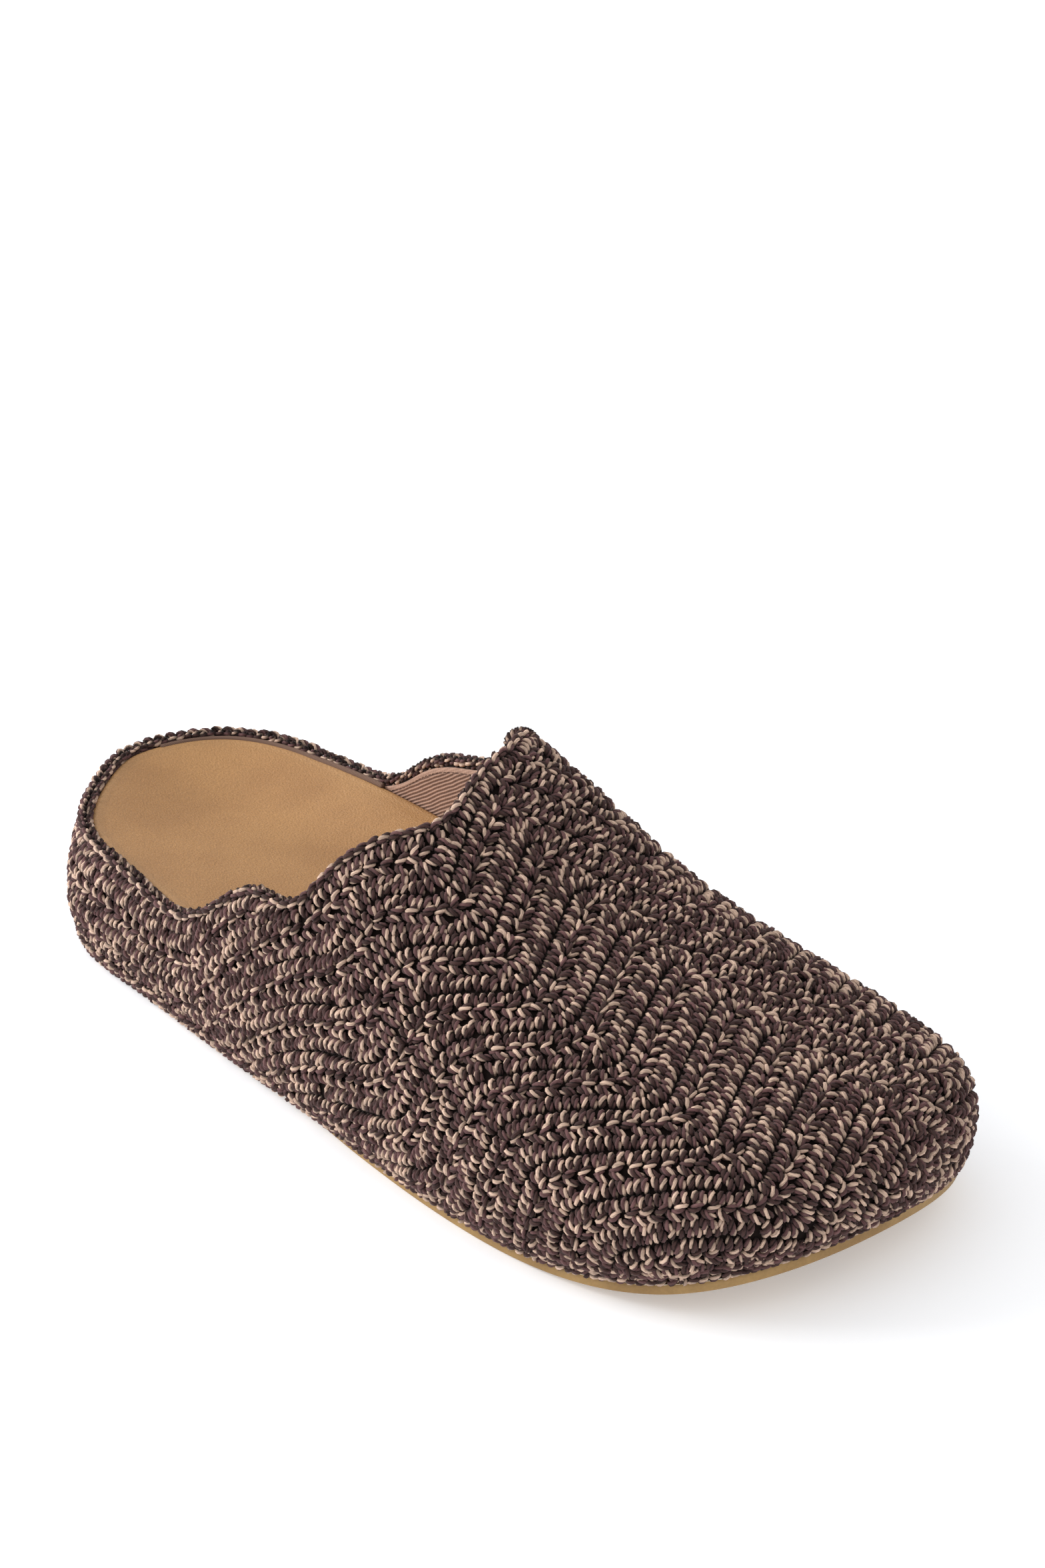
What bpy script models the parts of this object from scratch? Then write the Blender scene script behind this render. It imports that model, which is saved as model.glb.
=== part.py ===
"""Crochet clog for the right foot: gum outsole, leather-topped footbed and one hollow crochet upper.

+X points to the toe, +Y to the inner side of the foot, +Z up. The origin is on the floor under the
middle of the shoe. Sizes and tables are in millimetres and become metres where a mesh is made.
All three pieces are cut from one last: a station runs from 0 at the heel to 1 at the toe, and a
turn runs up each half section from -1 under the foot, through 0 at the widest line, to 1 at the ridge.
"""
import math

import bmesh
import bpy
import numpy as np

MM = 0.001

# Driving sizes of the shoe
LENGTH = 262.0
SOLE_THICKNESS = 2.8
SOLE_INSET = 4.4
SOLE_EDGE_ROUND = 0.6
ARCH_RISE = 1.5
ARCH_STATIONS = (0.30, 0.56)
TOE_SPRING = 13.0
SPRING_POWER = 2.6
SPRING_STATION = 0.70
BULGE_HEIGHT = 13.3
RIDGE_STATIONS = (0.14, 0.91)

# Crochet wall, the roll of its lower edge under the foot and the thicker chain along its opening
WALL = 3.0
GAP = 0.3
ROLL_GAP = 0.32
ROLL_INSET = 6.0
ROLL_END = 0.78
ROLL_DEPTH = (BULGE_HEIGHT - SOLE_THICKNESS - ROLL_GAP) / math.sin(ROLL_END * math.pi / 2)
RIM_HEIGHT = 32.4
CHAIN_RAISE = 0.5
CHAIN_WIDTH = 4.5
CHAIN_FADE = 1.5

# Footbed: side clearance in the wall, the rolled lip at its edge and the dish inside it
FOOTBED_GAP = 0.6
FOOTBED_FOOT_INSET = 7.6
FOOTBED_FOOT_RISE = 2.6
FOOTBED_SIDE_START = -0.52
LIP_ROUND = 1.4
LIP_WIDTH = 4.0
LIP_SHOULDER = (0.35, 0.3)
LIP_FALL = 0.12
DISH_WIDTH = 20.0
DISH_REACH = 0.8
DISH_DEPTH = 0.92

# Mesh density
RIM_COLUMNS = 40
VAMP_COLUMNS = 24
ROLL_ROWS = 3
WALL_ROWS = 8
ROW_CROWD = 1.35
CHAIN_ROWS = (5.4, 2.7)
SOLE_COLUMNS = 44
CORNER_SWEEP = 0.85
SWEEP_CHORD = 30.0
SWEEP_COLUMNS = 9
SIDE_RINGS = 4
DISH_RINGS = (0.45, 1.0)
FINE_STEPS = 160
STEP = 1e-3
WELD = 0.02
SMOOTH_ANGLE = math.radians(40)

# Half widths, ridge and fullness of the last; fullness is the power of the section's superellipse
SECTION_COLUMNS = ("station", "lateral", "medial", "ridge_height", "ridge_side", "fullness")
SECTIONS = (
    (0.000, 0.0, 0.0, 64.0, 5.0, 1.7),
    (0.035, -20.2, 25.1, 64.0, 5.0, 1.7),
    (0.110, -38.8, 35.5, 64.0, 5.0, 1.7),
    (0.220, -43.4, 37.6, 64.0, 5.4, 2.3),
    (0.360, -47.0, 37.2, 77.0, 7.7, 2.5),
    (0.500, -50.1, 39.8, 77.8, 10.1, 2.3),
    (0.630, -53.4, 47.8, 60.5, 10.1, 2.3),
    (0.750, -53.7, 52.6, 50.5, 10.0, 2.5),
    (0.860, -49.3, 55.3, 43.0, 10.0, 2.6),
    (0.950, -35.2, 44.2, 39.4, 10.0, 2.7),
    (1.000, 6.1, 6.1, 38.0, 10.0, 2.7),
)

# Scalloped opening from the end of the level rim to the ridge: the angle climbs the section from 0
# at the widest line to 90 degrees at the ridge, the foot station is where that wall meets the sole
TOPLINE_COLUMNS = ("station", "angle", "foot_station")
LATERAL_TOPLINE = (
    (0.300, 14.8, 0.300),
    (0.330, 18.0, 0.333),
    (0.367, 24.4, 0.370),
    (0.387, 27.5, 0.390),
    (0.412, 28.6, 0.413),
    (0.444, 30.3, 0.445),
    (0.458, 34.4, 0.462),
    (0.473, 43.7, 0.484),
    (0.487, 50.9, 0.505),
    (0.508, 59.6, 0.533),
    (0.523, 67.1, 0.558),
    (0.514, 78.0, 0.590),
    (0.497, 90.0, 0.620),
)
MEDIAL_TOPLINE = (
    (0.204, 20.6, 0.204),
    (0.238, 21.4, 0.238),
    (0.263, 24.4, 0.262),
    (0.288, 29.0, 0.290),
    (0.317, 32.3, 0.325),
    (0.350, 33.7, 0.360),
    (0.383, 35.8, 0.400),
    (0.410, 41.0, 0.440),
    (0.435, 48.0, 0.475),
    (0.464, 57.0, 0.520),
    (0.477, 67.0, 0.560),
    (0.482, 76.0, 0.590),
    (0.497, 90.0, 0.620),
)
RIM_NODES = 5

# Upper face of the footbed above the floor, before the toe spring is added
FOOTBED_COLUMNS = ("station", "lateral_edge", "medial_edge", "middle")
FOOTBED = (
    (0.00, 31.0, 31.0, 27.5),
    (0.15, 31.0, 31.2, 27.2),
    (0.30, 30.2, 32.0, 26.8),
    (0.42, 28.0, 30.5, 25.0),
    (0.55, 22.5, 25.0, 20.0),
    (0.68, 17.0, 18.0, 15.0),
    (0.80, 13.8, 14.2, 12.4),
    (0.92, 11.5, 11.8, 10.6),
    (1.00, 10.6, 10.6, 10.0),
)

LATERAL = -1
MEDIAL = 1

# Colours, roughness of the three materials
GUM_RUBBER = ((0.262, 0.170, 0.072, 1.0), 0.55)
TAN_LEATHER = ((0.480, 0.262, 0.098, 1.0), 0.50)
MARLED_YARN = ((0.205, 0.135, 0.105, 1.0), 0.90)


def natural_spline(knots, values, at):
    """Cubic through the knots with straight ends."""
    knots, values, at = (np.asarray(a, float) for a in (knots, values, at))
    count = len(knots)
    gap = np.diff(knots)
    matrix = np.eye(count)
    right = np.zeros(count)
    for i in range(1, count - 1):
        matrix[i, i - 1:i + 2] = (gap[i - 1], 2 * (gap[i - 1] + gap[i]), gap[i])
        right[i] = 6 * ((values[i + 1] - values[i]) / gap[i] - (values[i] - values[i - 1]) / gap[i - 1])
    bend = np.linalg.solve(matrix, right)
    k = np.clip(np.searchsorted(knots, at) - 1, 0, count - 2)
    d = at - knots[k]
    slope = (values[k + 1] - values[k]) / gap[k] - gap[k] * (2 * bend[k] + bend[k + 1]) / 6
    return values[k] + d * slope + d * d * bend[k] / 2 + d ** 3 * (bend[k + 1] - bend[k]) / (6 * gap[k])


def smooth(t):
    t = np.clip(t, 0.0, 1.0)
    return t * t * (3 - 2 * t)


def tau_of(station):
    """Stations crowd at heel and toe, where the outline turns."""
    return np.arccos(1 - 2 * np.clip(station, 0.0, 1.0)) / np.pi


def station_of(tau):
    return (1 - np.cos(np.pi * np.asarray(tau, float))) / 2


def section(name, tau):
    column = SECTION_COLUMNS.index(name)
    return natural_spline(tau_of([row[0] for row in SECTIONS]), [row[column] for row in SECTIONS], tau)


def footbed_height(name, station):
    column = FOOTBED_COLUMNS.index(name)
    return natural_spline([row[0] for row in FOOTBED], [row[column] for row in FOOTBED], station)


def opening(side, name):
    """One column of the table of a side's scalloped opening."""
    table = LATERAL_TOPLINE if side == LATERAL else MEDIAL_TOPLINE
    column = TOPLINE_COLUMNS.index(name)
    return np.array([row[column] for row in table])


def toe_lift(station):
    """Height that the toe spring adds to everything that follows the sole."""
    return TOE_SPRING * np.clip((station - SPRING_STATION) / (1 - SPRING_STATION), 0, 1) ** SPRING_POWER


def arch_lift(station):
    """Shallow arch under the waist, between the flat spots of heel and forefoot."""
    start, end = ARCH_STATIONS
    return ARCH_RISE * np.sin(np.pi * np.clip((station - start) / (end - start), 0, 1)) ** 2


def ridge_line(tau):
    """Middle line of the last, its height and the fullness of the section there."""
    station = np.clip(station_of(tau), *RIDGE_STATIONS)
    ridge_tau = tau_of(station)
    return (station * LENGTH, section("ridge_side", ridge_tau),
            section("ridge_height", ridge_tau), section("fullness", ridge_tau))


def outline(tau, side):
    """Widest line of the shoe in plan."""
    return LENGTH * station_of(tau), section("lateral" if side == LATERAL else "medial", tau)


def inset_edge(tau, side, inset):
    """Point of the outline moved towards the middle line, in plan."""
    x, y = outline(tau, side)
    ridge_x, ridge_y = ridge_line(tau)[:2]
    reach = 1 - inset / np.hypot(x - ridge_x, y - ridge_y)
    return np.array((ridge_x + (x - ridge_x) * reach, ridge_y + (y - ridge_y) * reach))


def sole_lift(tau, side):
    """Toe spring at the outsole's edge, which the wall over it follows."""
    return toe_lift(inset_edge(tau, side, SOLE_INSET)[0] / LENGTH)


def bulge_height(tau, side):
    """Height of the widest line."""
    return BULGE_HEIGHT + sole_lift(tau, side)


def toe_slope():
    """Slope of the ridge where it ends, which the toe's dome carries on."""
    station = np.array((RIDGE_STATIONS[1] - STEP, RIDGE_STATIONS[1]))
    low, high = section("ridge_height", tau_of(station))
    return (high - low) / (STEP * LENGTH)


def last_point(tau, side, turn):
    """Point of the shoe's outer surface."""
    tau, turn = np.broadcast_arrays(np.asarray(tau, float), np.asarray(turn, float))
    x, y = outline(tau, side)
    ridge_x, ridge_y, ridge_z, fullness = ridge_line(tau)
    up = np.clip(turn, 0, 1) * np.pi / 2
    down = np.clip(-turn, 0, 1) * np.pi / 2
    bulge = bulge_height(tau, side)
    z = bulge + (ridge_z - bulge) * np.sin(up) ** (2 / fullness) - ROLL_DEPTH * np.sin(down)
    reach = np.abs(np.cos(up)) ** (2 / fullness)
    z = z + toe_slope() * np.maximum(x - LENGTH * RIDGE_STATIONS[1], 0) * reach * np.sin(up)
    reach = reach - ROLL_INSET * (1 - np.cos(down)) / np.hypot(x - ridge_x, y - ridge_y)
    return np.stack((ridge_x + (x - ridge_x) * reach, ridge_y + (y - ridge_y) * reach, z), -1)


def last_normal(tau, side, turn):
    """Outward direction of the shoe's outer surface, for points below the ridge."""
    along = (last_point(np.minimum(tau + STEP, 1), side, turn)
             - last_point(np.maximum(tau - STEP, 0), side, turn))
    upward = last_point(tau, side, turn + STEP) - last_point(tau, side, turn - STEP)
    normal = np.cross(along, upward) * -side
    return normal / np.linalg.norm(normal, axis=-1, keepdims=True)


def turn_at_height(tau, side, z):
    """Turn at which the outer surface reaches a height."""
    ridge_z, fullness = ridge_line(tau)[2:]
    bulge = bulge_height(tau, side)
    above = np.clip((z - bulge) / (ridge_z - bulge), 0, 1)
    below = np.clip((bulge - z) / ROLL_DEPTH, 0, 1)
    return (np.arcsin(above ** (fullness / 2)) - np.arcsin(below)) * 2 / np.pi


def topline(side):
    """Tau, turn, foot tau and sweep of columns spaced evenly from the heel's back to the ridge."""
    scallop_tau = tau_of(opening(side, "station"))
    rim_tau = np.linspace(0, scallop_tau[0], RIM_NODES, endpoint=False)
    tau = np.concatenate((rim_tau, scallop_tau))
    turn = np.concatenate((turn_at_height(rim_tau, side, RIM_HEIGHT), opening(side, "angle") / 90))
    foot = np.concatenate((rim_tau, tau_of(opening(side, "foot_station"))))
    points = last_point(tau, side, turn)
    chord = np.concatenate(([0.0], np.cumsum(np.linalg.norm(np.diff(points, axis=0), axis=1))))
    even = np.linspace(0, chord[-1], RIM_COLUMNS)
    sweep = 1 - (1 - CORNER_SWEEP) * smooth(1 - (chord[-1] - even) / SWEEP_CHORD)
    return (natural_spline(chord, tau, even), np.clip(natural_spline(chord, turn, even), 0, 1),
            np.interp(even, chord, foot), sweep)


def vamp(side):
    """Tau, turn, foot tau and sweep of the columns from the opening to the toe, which end on the ridge."""
    top_start = opening(side, "station")[-1]
    foot_start = opening(side, "foot_station")[-1]
    count = np.arange(1, VAMP_COLUMNS + 1)
    share = station_of(0.5 + 0.5 * count / VAMP_COLUMNS) * 2 - 1
    top = tau_of(top_start + (1 - top_start) * share)
    foot = tau_of(foot_start + (1 - foot_start) * share)
    return top, np.ones(VAMP_COLUMNS), foot, CORNER_SWEEP * smooth(1 - count / SWEEP_COLUMNS)


def wall_path(share, top_tau, top_turn, foot_tau, sweep):
    """Tau and turn along a column: a sweep of 0 is straight, 1 rises first and then runs back."""
    rise = sweep * 2 * share * (1 - share) + share ** 2
    return foot_tau + (top_tau - foot_tau) * share ** 2, -ROLL_END + (top_turn + ROLL_END) * rise


def wall_column(side, *column):
    """Points of one column of the upper, from the rolled lower edge up to the opening or the ridge."""
    share = np.linspace(0, 1, FINE_STEPS)
    tau, turn = wall_path(share, *column)
    fine = last_point(tau, side, turn)
    length = np.concatenate(([0.0], np.cumsum(np.linalg.norm(np.diff(fine, axis=0), axis=1))))
    bulge = np.interp(0, turn, length)
    roll = np.linspace(0, bulge, ROLL_ROWS, endpoint=False)
    wall = np.linspace(0, 1, WALL_ROWS, endpoint=False) ** ROW_CROWD
    wall = bulge + (length[-1] - CHAIN_ROWS[0] - bulge) * wall
    rows = np.concatenate((roll, wall, length[-1] - np.array(CHAIN_ROWS), length[-1:]))
    tau, turn = wall_path(np.interp(rows, length, share), *column)
    return last_point(tau, side, turn)


def shoe_middle():
    """Middle of the shoe's box in plan, which becomes the origin."""
    tau = np.linspace(0, 1, FINE_STEPS)
    low = outline(tau, LATERAL)[1].min()
    high = outline(tau, MEDIAL)[1].max()
    return np.array((LENGTH / 2, (low + high) / 2, 0.0))


def principled(name, colour, roughness):
    material = bpy.data.materials.new(name)
    material.use_nodes = True
    shader = material.node_tree.nodes["Principled BSDF"]
    shader.inputs["Base Color"].default_value = colour
    shader.inputs["Roughness"].default_value = roughness
    return material


def lofted_object(name, columns, material, collection):
    """Mesh object through a closed loop of columns, each with the same number of points."""
    mesh = bpy.data.meshes.new(name)
    bm = bmesh.new()
    points = (np.asarray(columns) - shoe_middle()) * MM
    grid = [[bm.verts.new(point) for point in column] for column in points]
    for this, following in zip(grid, grid[1:] + grid[:1]):
        for i in range(len(this) - 1):
            bm.faces.new((this[i], following[i], following[i + 1], this[i + 1]))
    bmesh.ops.remove_doubles(bm, verts=bm.verts, dist=WELD * MM)
    bm.to_mesh(mesh)
    bm.free()
    mesh.shade_smooth()
    mesh.set_sharp_from_angle(angle=SMOOTH_ANGLE)
    mesh.materials.append(material)
    piece = bpy.data.objects.new(name, mesh)
    collection.objects.link(piece)
    return piece


def around_the_foot(count):
    """Side and tau of columns once round the shoe: heel, outer side, toe, inner side."""
    taus = np.linspace(0, 1, count + 1)
    return [(LATERAL, tau) for tau in taus] + [(MEDIAL, tau) for tau in taus[-2:0:-1]]


def make_outsole(collection):
    """Gum sheet with a rounded lower edge, flat under heel and forefoot."""
    columns = []
    for side, tau in around_the_foot(SOLE_COLUMNS):
        middle = np.array(ridge_line(tau)[:2])
        edge = inset_edge(tau, side, SOLE_INSET)
        lower = inset_edge(tau, side, SOLE_INSET + SOLE_EDGE_ROUND)
        plan = [(middle, 0), ((middle + lower) / 2, 0), (lower, 0), (edge, SOLE_EDGE_ROUND),
                (edge, SOLE_THICKNESS), ((middle + edge) / 2, SOLE_THICKNESS), (middle, SOLE_THICKNESS)]
        column = []
        for (x, y), height in plan:
            station = x / LENGTH
            under = arch_lift(station) if height < SOLE_THICKNESS else 0.0
            column.append((x, y, height + under + toe_lift(station)))
        columns.append(column)
    return lofted_object("outsole", columns, principled("gum_rubber", *GUM_RUBBER), collection)


def footbed_top(tau, edge, edge_z):
    """Points over the footbed: up round the lip, down into the dish and on to the middle line."""
    middle = np.array(ridge_line(tau)[:2])
    station = middle[0] / LENGTH
    middle_z = footbed_height("middle", station) + toe_lift(station)
    reach = np.hypot(*(edge - middle))
    shoulder_in, shoulder_down = np.array(LIP_SHOULDER) * LIP_ROUND
    points = []
    for distance, drop in ((shoulder_in, shoulder_down), (LIP_ROUND, 0.0), (LIP_WIDTH, LIP_FALL)):
        points.append((*(edge + (middle - edge) * distance / reach), edge_z - drop))
    start = LIP_WIDTH / reach
    for ring in DISH_RINGS:
        share = start + (min(DISH_WIDTH / reach, DISH_REACH) - start) * ring
        height = edge_z + (middle_z - edge_z) * smooth(ring) * DISH_DEPTH
        points.append((*(edge + (middle - edge) * share), height))
    points.append((*middle, middle_z))
    return points


def make_footbed(collection):
    """Leather-topped footbed, which fills the upper's lower part up to its own lip."""
    columns = []
    for side, tau in around_the_foot(SOLE_COLUMNS):
        station = station_of(tau)
        middle = np.array(ridge_line(tau)[:2])
        floor = SOLE_THICKNESS + GAP
        foot = inset_edge(tau, side, FOOTBED_FOOT_INSET)
        edge_name = "lateral_edge" if side == LATERAL else "medial_edge"
        edge_z = footbed_height(edge_name, station) + sole_lift(tau, side)
        column = []
        for (x, y), rise in ((middle, 0), ((middle + foot) / 2, 0), (foot, 0), (foot, FOOTBED_FOOT_RISE)):
            column.append((x, y, floor + rise + toe_lift(x / LENGTH)))
        top_turn = turn_at_height(tau, side, edge_z - LIP_ROUND)
        turns = np.linspace(FOOTBED_SIDE_START, top_turn, SIDE_RINGS)
        sides = last_point(tau, side, turns) - (WALL + FOOTBED_GAP) * last_normal(tau, side, turns)
        column.extend(sides)
        column.extend(footbed_top(tau, sides[-1][:2], edge_z))
        columns.append(column)
    return lofted_object("footbed", columns, principled("tan_leather", *TAN_LEATHER), collection)


def chain_weights(points, edge):
    """1 on the chain along the opening, falling to 0 on the plain wall."""
    distance = np.linalg.norm(points[:, None] - edge[None], axis=2).min(axis=1)
    return smooth((CHAIN_WIDTH + CHAIN_FADE - distance) / CHAIN_FADE)


def dense_edge(edge):
    """The opening's points with their midpoints, so that distances to it are even."""
    halves = np.array_split(edge, 2)
    middles = [(half[1:] + half[:-1]) / 2 for half in halves]
    return np.concatenate(halves + middles)


def make_upper(collection):
    """One hollow crochet wall, open at collar and throat and underneath, thicker along its opening."""
    halves = {}
    edge = []
    for side in (LATERAL, MEDIAL):
        rim = list(zip(*topline(side)))
        edge.extend(last_point(np.array([c[0] for c in rim]), side, np.array([c[1] for c in rim])))
        halves[side] = [wall_column(side, *column) for column in rim + list(zip(*vamp(side)))]
    columns = halves[LATERAL] + halves[MEDIAL][-2:0:-1]
    upper = lofted_object("upper", columns, principled("marled_yarn", *MARLED_YARN), collection)

    mesh = upper.data
    points = np.array([vertex.co for vertex in mesh.vertices]) / MM + shoe_middle()
    weights = chain_weights(points, dense_edge(np.array(edge)))
    chain = upper.vertex_groups.new(name="chain")
    normals = [vertex.normal.copy() for vertex in mesh.vertices]
    for vertex, normal, weight in zip(mesh.vertices, normals, weights):
        vertex.co += normal * (CHAIN_RAISE * weight * MM)
        chain.add([vertex.index], float(weight), "REPLACE")
    wall = upper.modifiers.new("wall", "SOLIDIFY")
    wall.thickness = (WALL + CHAIN_RAISE) * MM
    wall.offset = -1.0
    wall.use_even_offset = True
    wall.vertex_group = chain.name
    wall.thickness_vertex_group = WALL / (WALL + CHAIN_RAISE)
    return upper


def main():
    for leftover in list(bpy.data.objects):
        bpy.data.objects.remove(leftover, do_unlink=True)
    collection = bpy.data.collections.new("crochet_clog")
    bpy.context.scene.collection.children.link(collection)
    make_outsole(collection)
    make_footbed(collection)
    make_upper(collection)


main()
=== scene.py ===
"""Looks of the crochet clog, a right shoe: twisted-yarn stitches on a lined shell, leather footbed, gum sole.

Sizes are in millimetres, in the last's own frame, whose origin is on the floor at the back of the heel:
+X points to the toe, +Y to the inner side, +Z up. to_frame turns such points into the part's metres.
The last is the one that the solids are cut from. A chart lays its surface out flat: x runs along the
ridge, t is the length down the wall from the ridge, minus on the outer side.
"""
import math

import bmesh
import bpy
import numpy as np
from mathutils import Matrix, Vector


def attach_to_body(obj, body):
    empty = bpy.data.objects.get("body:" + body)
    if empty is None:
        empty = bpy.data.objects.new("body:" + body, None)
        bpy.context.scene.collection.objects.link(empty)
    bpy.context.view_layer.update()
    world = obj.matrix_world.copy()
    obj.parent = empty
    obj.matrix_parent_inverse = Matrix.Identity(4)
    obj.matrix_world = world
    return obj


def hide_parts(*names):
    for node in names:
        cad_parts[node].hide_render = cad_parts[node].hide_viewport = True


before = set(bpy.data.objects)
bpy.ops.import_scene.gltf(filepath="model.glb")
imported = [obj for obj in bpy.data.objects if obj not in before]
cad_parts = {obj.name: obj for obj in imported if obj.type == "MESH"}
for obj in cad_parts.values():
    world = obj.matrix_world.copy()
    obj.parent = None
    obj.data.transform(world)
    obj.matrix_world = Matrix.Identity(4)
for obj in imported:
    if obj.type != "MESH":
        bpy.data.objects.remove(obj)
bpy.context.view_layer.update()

MM = 0.001
LATERAL = -1
MEDIAL = 1
SIDES = (LATERAL, MEDIAL)
UP = np.array((0.0, 0.0, 1.0))
rng = np.random.default_rng(7)

# Driving sizes of the last, as in the solids
LENGTH = 262.0
SOLE_THICKNESS = 2.8
SOLE_INSET = 4.4
SOLE_EDGE_ROUND = 0.6
ARCH_RISE = 1.5
ARCH_STATIONS = (0.30, 0.56)
TOE_SPRING = 13.0
SPRING_POWER = 2.6
SPRING_STATION = 0.70
BULGE_HEIGHT = 13.3
RIDGE_STATIONS = (0.14, 0.91)
WALL = 3.0
GAP = 0.3
ROLL_DEPTH = 10.82
ROLL_INSET = 6.0
ROLL_END = 0.78
RIM_HEIGHT = 32.4
FOOTBED_GAP = 0.6
FOOTBED_FOOT_INSET = 7.6
FOOTBED_FOOT_RISE = 2.6
FOOTBED_SIDE_START = -0.52
LIP_ROUND = 1.4
LIP_WIDTH = 4.0
CORNER_SWEEP = 0.85
SWEEP_CHORD = 30.0
SWEEP_SHARE = 0.38
RIM_NODES = 5
OUTLINE_SAMPLES = 160
STEP = 1e-3

# Half widths, ridge and fullness of the last; fullness is the power of the section's superellipse
SECTION_COLUMNS = ("station", "lateral", "medial", "ridge_height", "ridge_side", "fullness")
SECTIONS = (
    (0.000, 0.0, 0.0, 64.0, 5.0, 1.7),
    (0.035, -20.2, 25.1, 64.0, 5.0, 1.7),
    (0.110, -38.8, 35.5, 64.0, 5.0, 1.7),
    (0.220, -43.4, 37.6, 64.0, 5.4, 2.3),
    (0.360, -47.0, 37.2, 77.0, 7.7, 2.5),
    (0.500, -50.1, 39.8, 77.8, 10.1, 2.3),
    (0.630, -53.4, 47.8, 60.5, 10.1, 2.3),
    (0.750, -53.7, 52.6, 50.5, 10.0, 2.5),
    (0.860, -49.3, 55.3, 43.0, 10.0, 2.6),
    (0.950, -35.2, 44.2, 39.4, 10.0, 2.7),
    (1.000, 6.1, 6.1, 38.0, 10.0, 2.7),
)

# Scalloped opening from the end of the level rim to the ridge, with the foot of each wall column
TOPLINE_COLUMNS = ("station", "angle", "foot_station")
LATERAL_TOPLINE = (
    (0.300, 14.8, 0.300),
    (0.330, 18.0, 0.333),
    (0.367, 24.4, 0.370),
    (0.387, 27.5, 0.390),
    (0.412, 28.6, 0.413),
    (0.444, 30.3, 0.445),
    (0.458, 34.4, 0.462),
    (0.473, 43.7, 0.484),
    (0.487, 50.9, 0.505),
    (0.508, 59.6, 0.533),
    (0.523, 67.1, 0.558),
    (0.514, 78.0, 0.590),
    (0.497, 90.0, 0.620),
)
MEDIAL_TOPLINE = (
    (0.204, 20.6, 0.204),
    (0.238, 21.4, 0.238),
    (0.263, 24.4, 0.262),
    (0.288, 29.0, 0.290),
    (0.317, 32.3, 0.325),
    (0.350, 33.7, 0.360),
    (0.383, 35.8, 0.400),
    (0.410, 41.0, 0.440),
    (0.435, 48.0, 0.475),
    (0.464, 57.0, 0.520),
    (0.477, 67.0, 0.560),
    (0.482, 76.0, 0.590),
    (0.497, 90.0, 0.620),
)

# Upper face of the footbed above the floor, before the toe spring is added
FOOTBED_COLUMNS = ("station", "lateral_edge", "medial_edge", "middle")
FOOTBED = (
    (0.00, 31.0, 31.0, 27.5),
    (0.15, 31.0, 31.2, 27.2),
    (0.30, 30.2, 32.0, 26.8),
    (0.42, 28.0, 30.5, 25.0),
    (0.55, 22.5, 25.0, 20.0),
    (0.68, 17.0, 18.0, 15.0),
    (0.80, 13.8, 14.2, 12.4),
    (0.92, 11.5, 11.8, 10.6),
    (1.00, 10.6, 10.6, 10.0),
)

# Flat chart of the last
CHART_X = (-64.0, 324.0)
CHART_T = (-114.0, 114.0)
CHART_STEP = 1.0
ARC_TAUS = 400
ARC_TURNS = 300
ARC_SAMPLES = 120
END_SAMPLES = 200
LOWEST_TURN = -0.95

# Yarn: plies twisted together, the first one tan and the others dark; each has a crease and two points
# of its round, given by their share of the ply's angle and of the yarn's radius
YARN_RADIUS = 0.96
YARN_LAY = 4.9
PLIES = 3
PLY_PROFILE = ((0.00, 0.36), (0.27, 0.99), (0.73, 0.99))
TILES = 8
TILE_MARGIN = 0.04
CAP_MARGIN = 0.02

# One stitch: depth of the yarn's middle line below the last, rings of points along it, the powers of its
# arch and of its swelling from the ends, and the random spread of bend, depth and thickness
AXIS_DEPTH = 0.85
END_DEPTH = 2.0
LEG_RINGS = 7
CHAIN_RINGS = 8
ARCH_POWER = 0.7
SWELL_POWER = 0.6
END_SWELL = 0.60
BEND_SPREAD = 0.15
DEPTH_SPREAD = 0.1
THICKNESS_SPREAD = 0.05

# Crochet rows of the vamp: pitch and the chart's x of row 0 at its valley, spacing along the rows, and the
# random spread of places (as a share of the spacing), lengths and slants
ROW_PITCH = 14.6
FIRST_VALLEY = 150.8
ROWS = (-9, 13)
ROW_STEP = 0.02
ALONG_STEP = 0.6
LANE_MARGIN = 4
LANE_STEP = 0.5
LEAST_PITCH = 4.0
LEG_SPACING = 1.95
LEG_HALVES = (1.35, 2.6)
LEG_LEAN = 0.05
CHAIN_SPACING = 3.75
CHAIN_HALF = 1.95
CHAIN_DEPTH = 0.72
PLACE_SPREAD = 0.06
LEG_SPREAD = 0.07
CHAIN_SPREAD = 0.08
SLANT_SPREAD = 0.16
CORNER_EASE = (-3.6, -1.8, 0.0, 1.8, 3.6)

# Lanes of slanted chains: distance from the row's dark line, slant and bend
CHAIN_LANES = ((4.35, -0.60, 0.6), (6.2, 0.55, 0.3))

# Lanes of legs: start and end from the row's line, each with the share of the room before the next line
# that is added to it, and the least and most room for which the lane is worked
ROOM_START = 7.2
LEG_LANES = (
    (0.4, 0.0, 3.6, 0.0, -99.0, 99.0),
    (7.0, 0.0, 6.9, 1.0, -99.0, 4.2),
    (7.0, 0.0, 7.5, 0.5, 4.2, 99.0),
    (6.9, 0.5, 6.9, 1.0, 4.2, 99.0),
)

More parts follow.
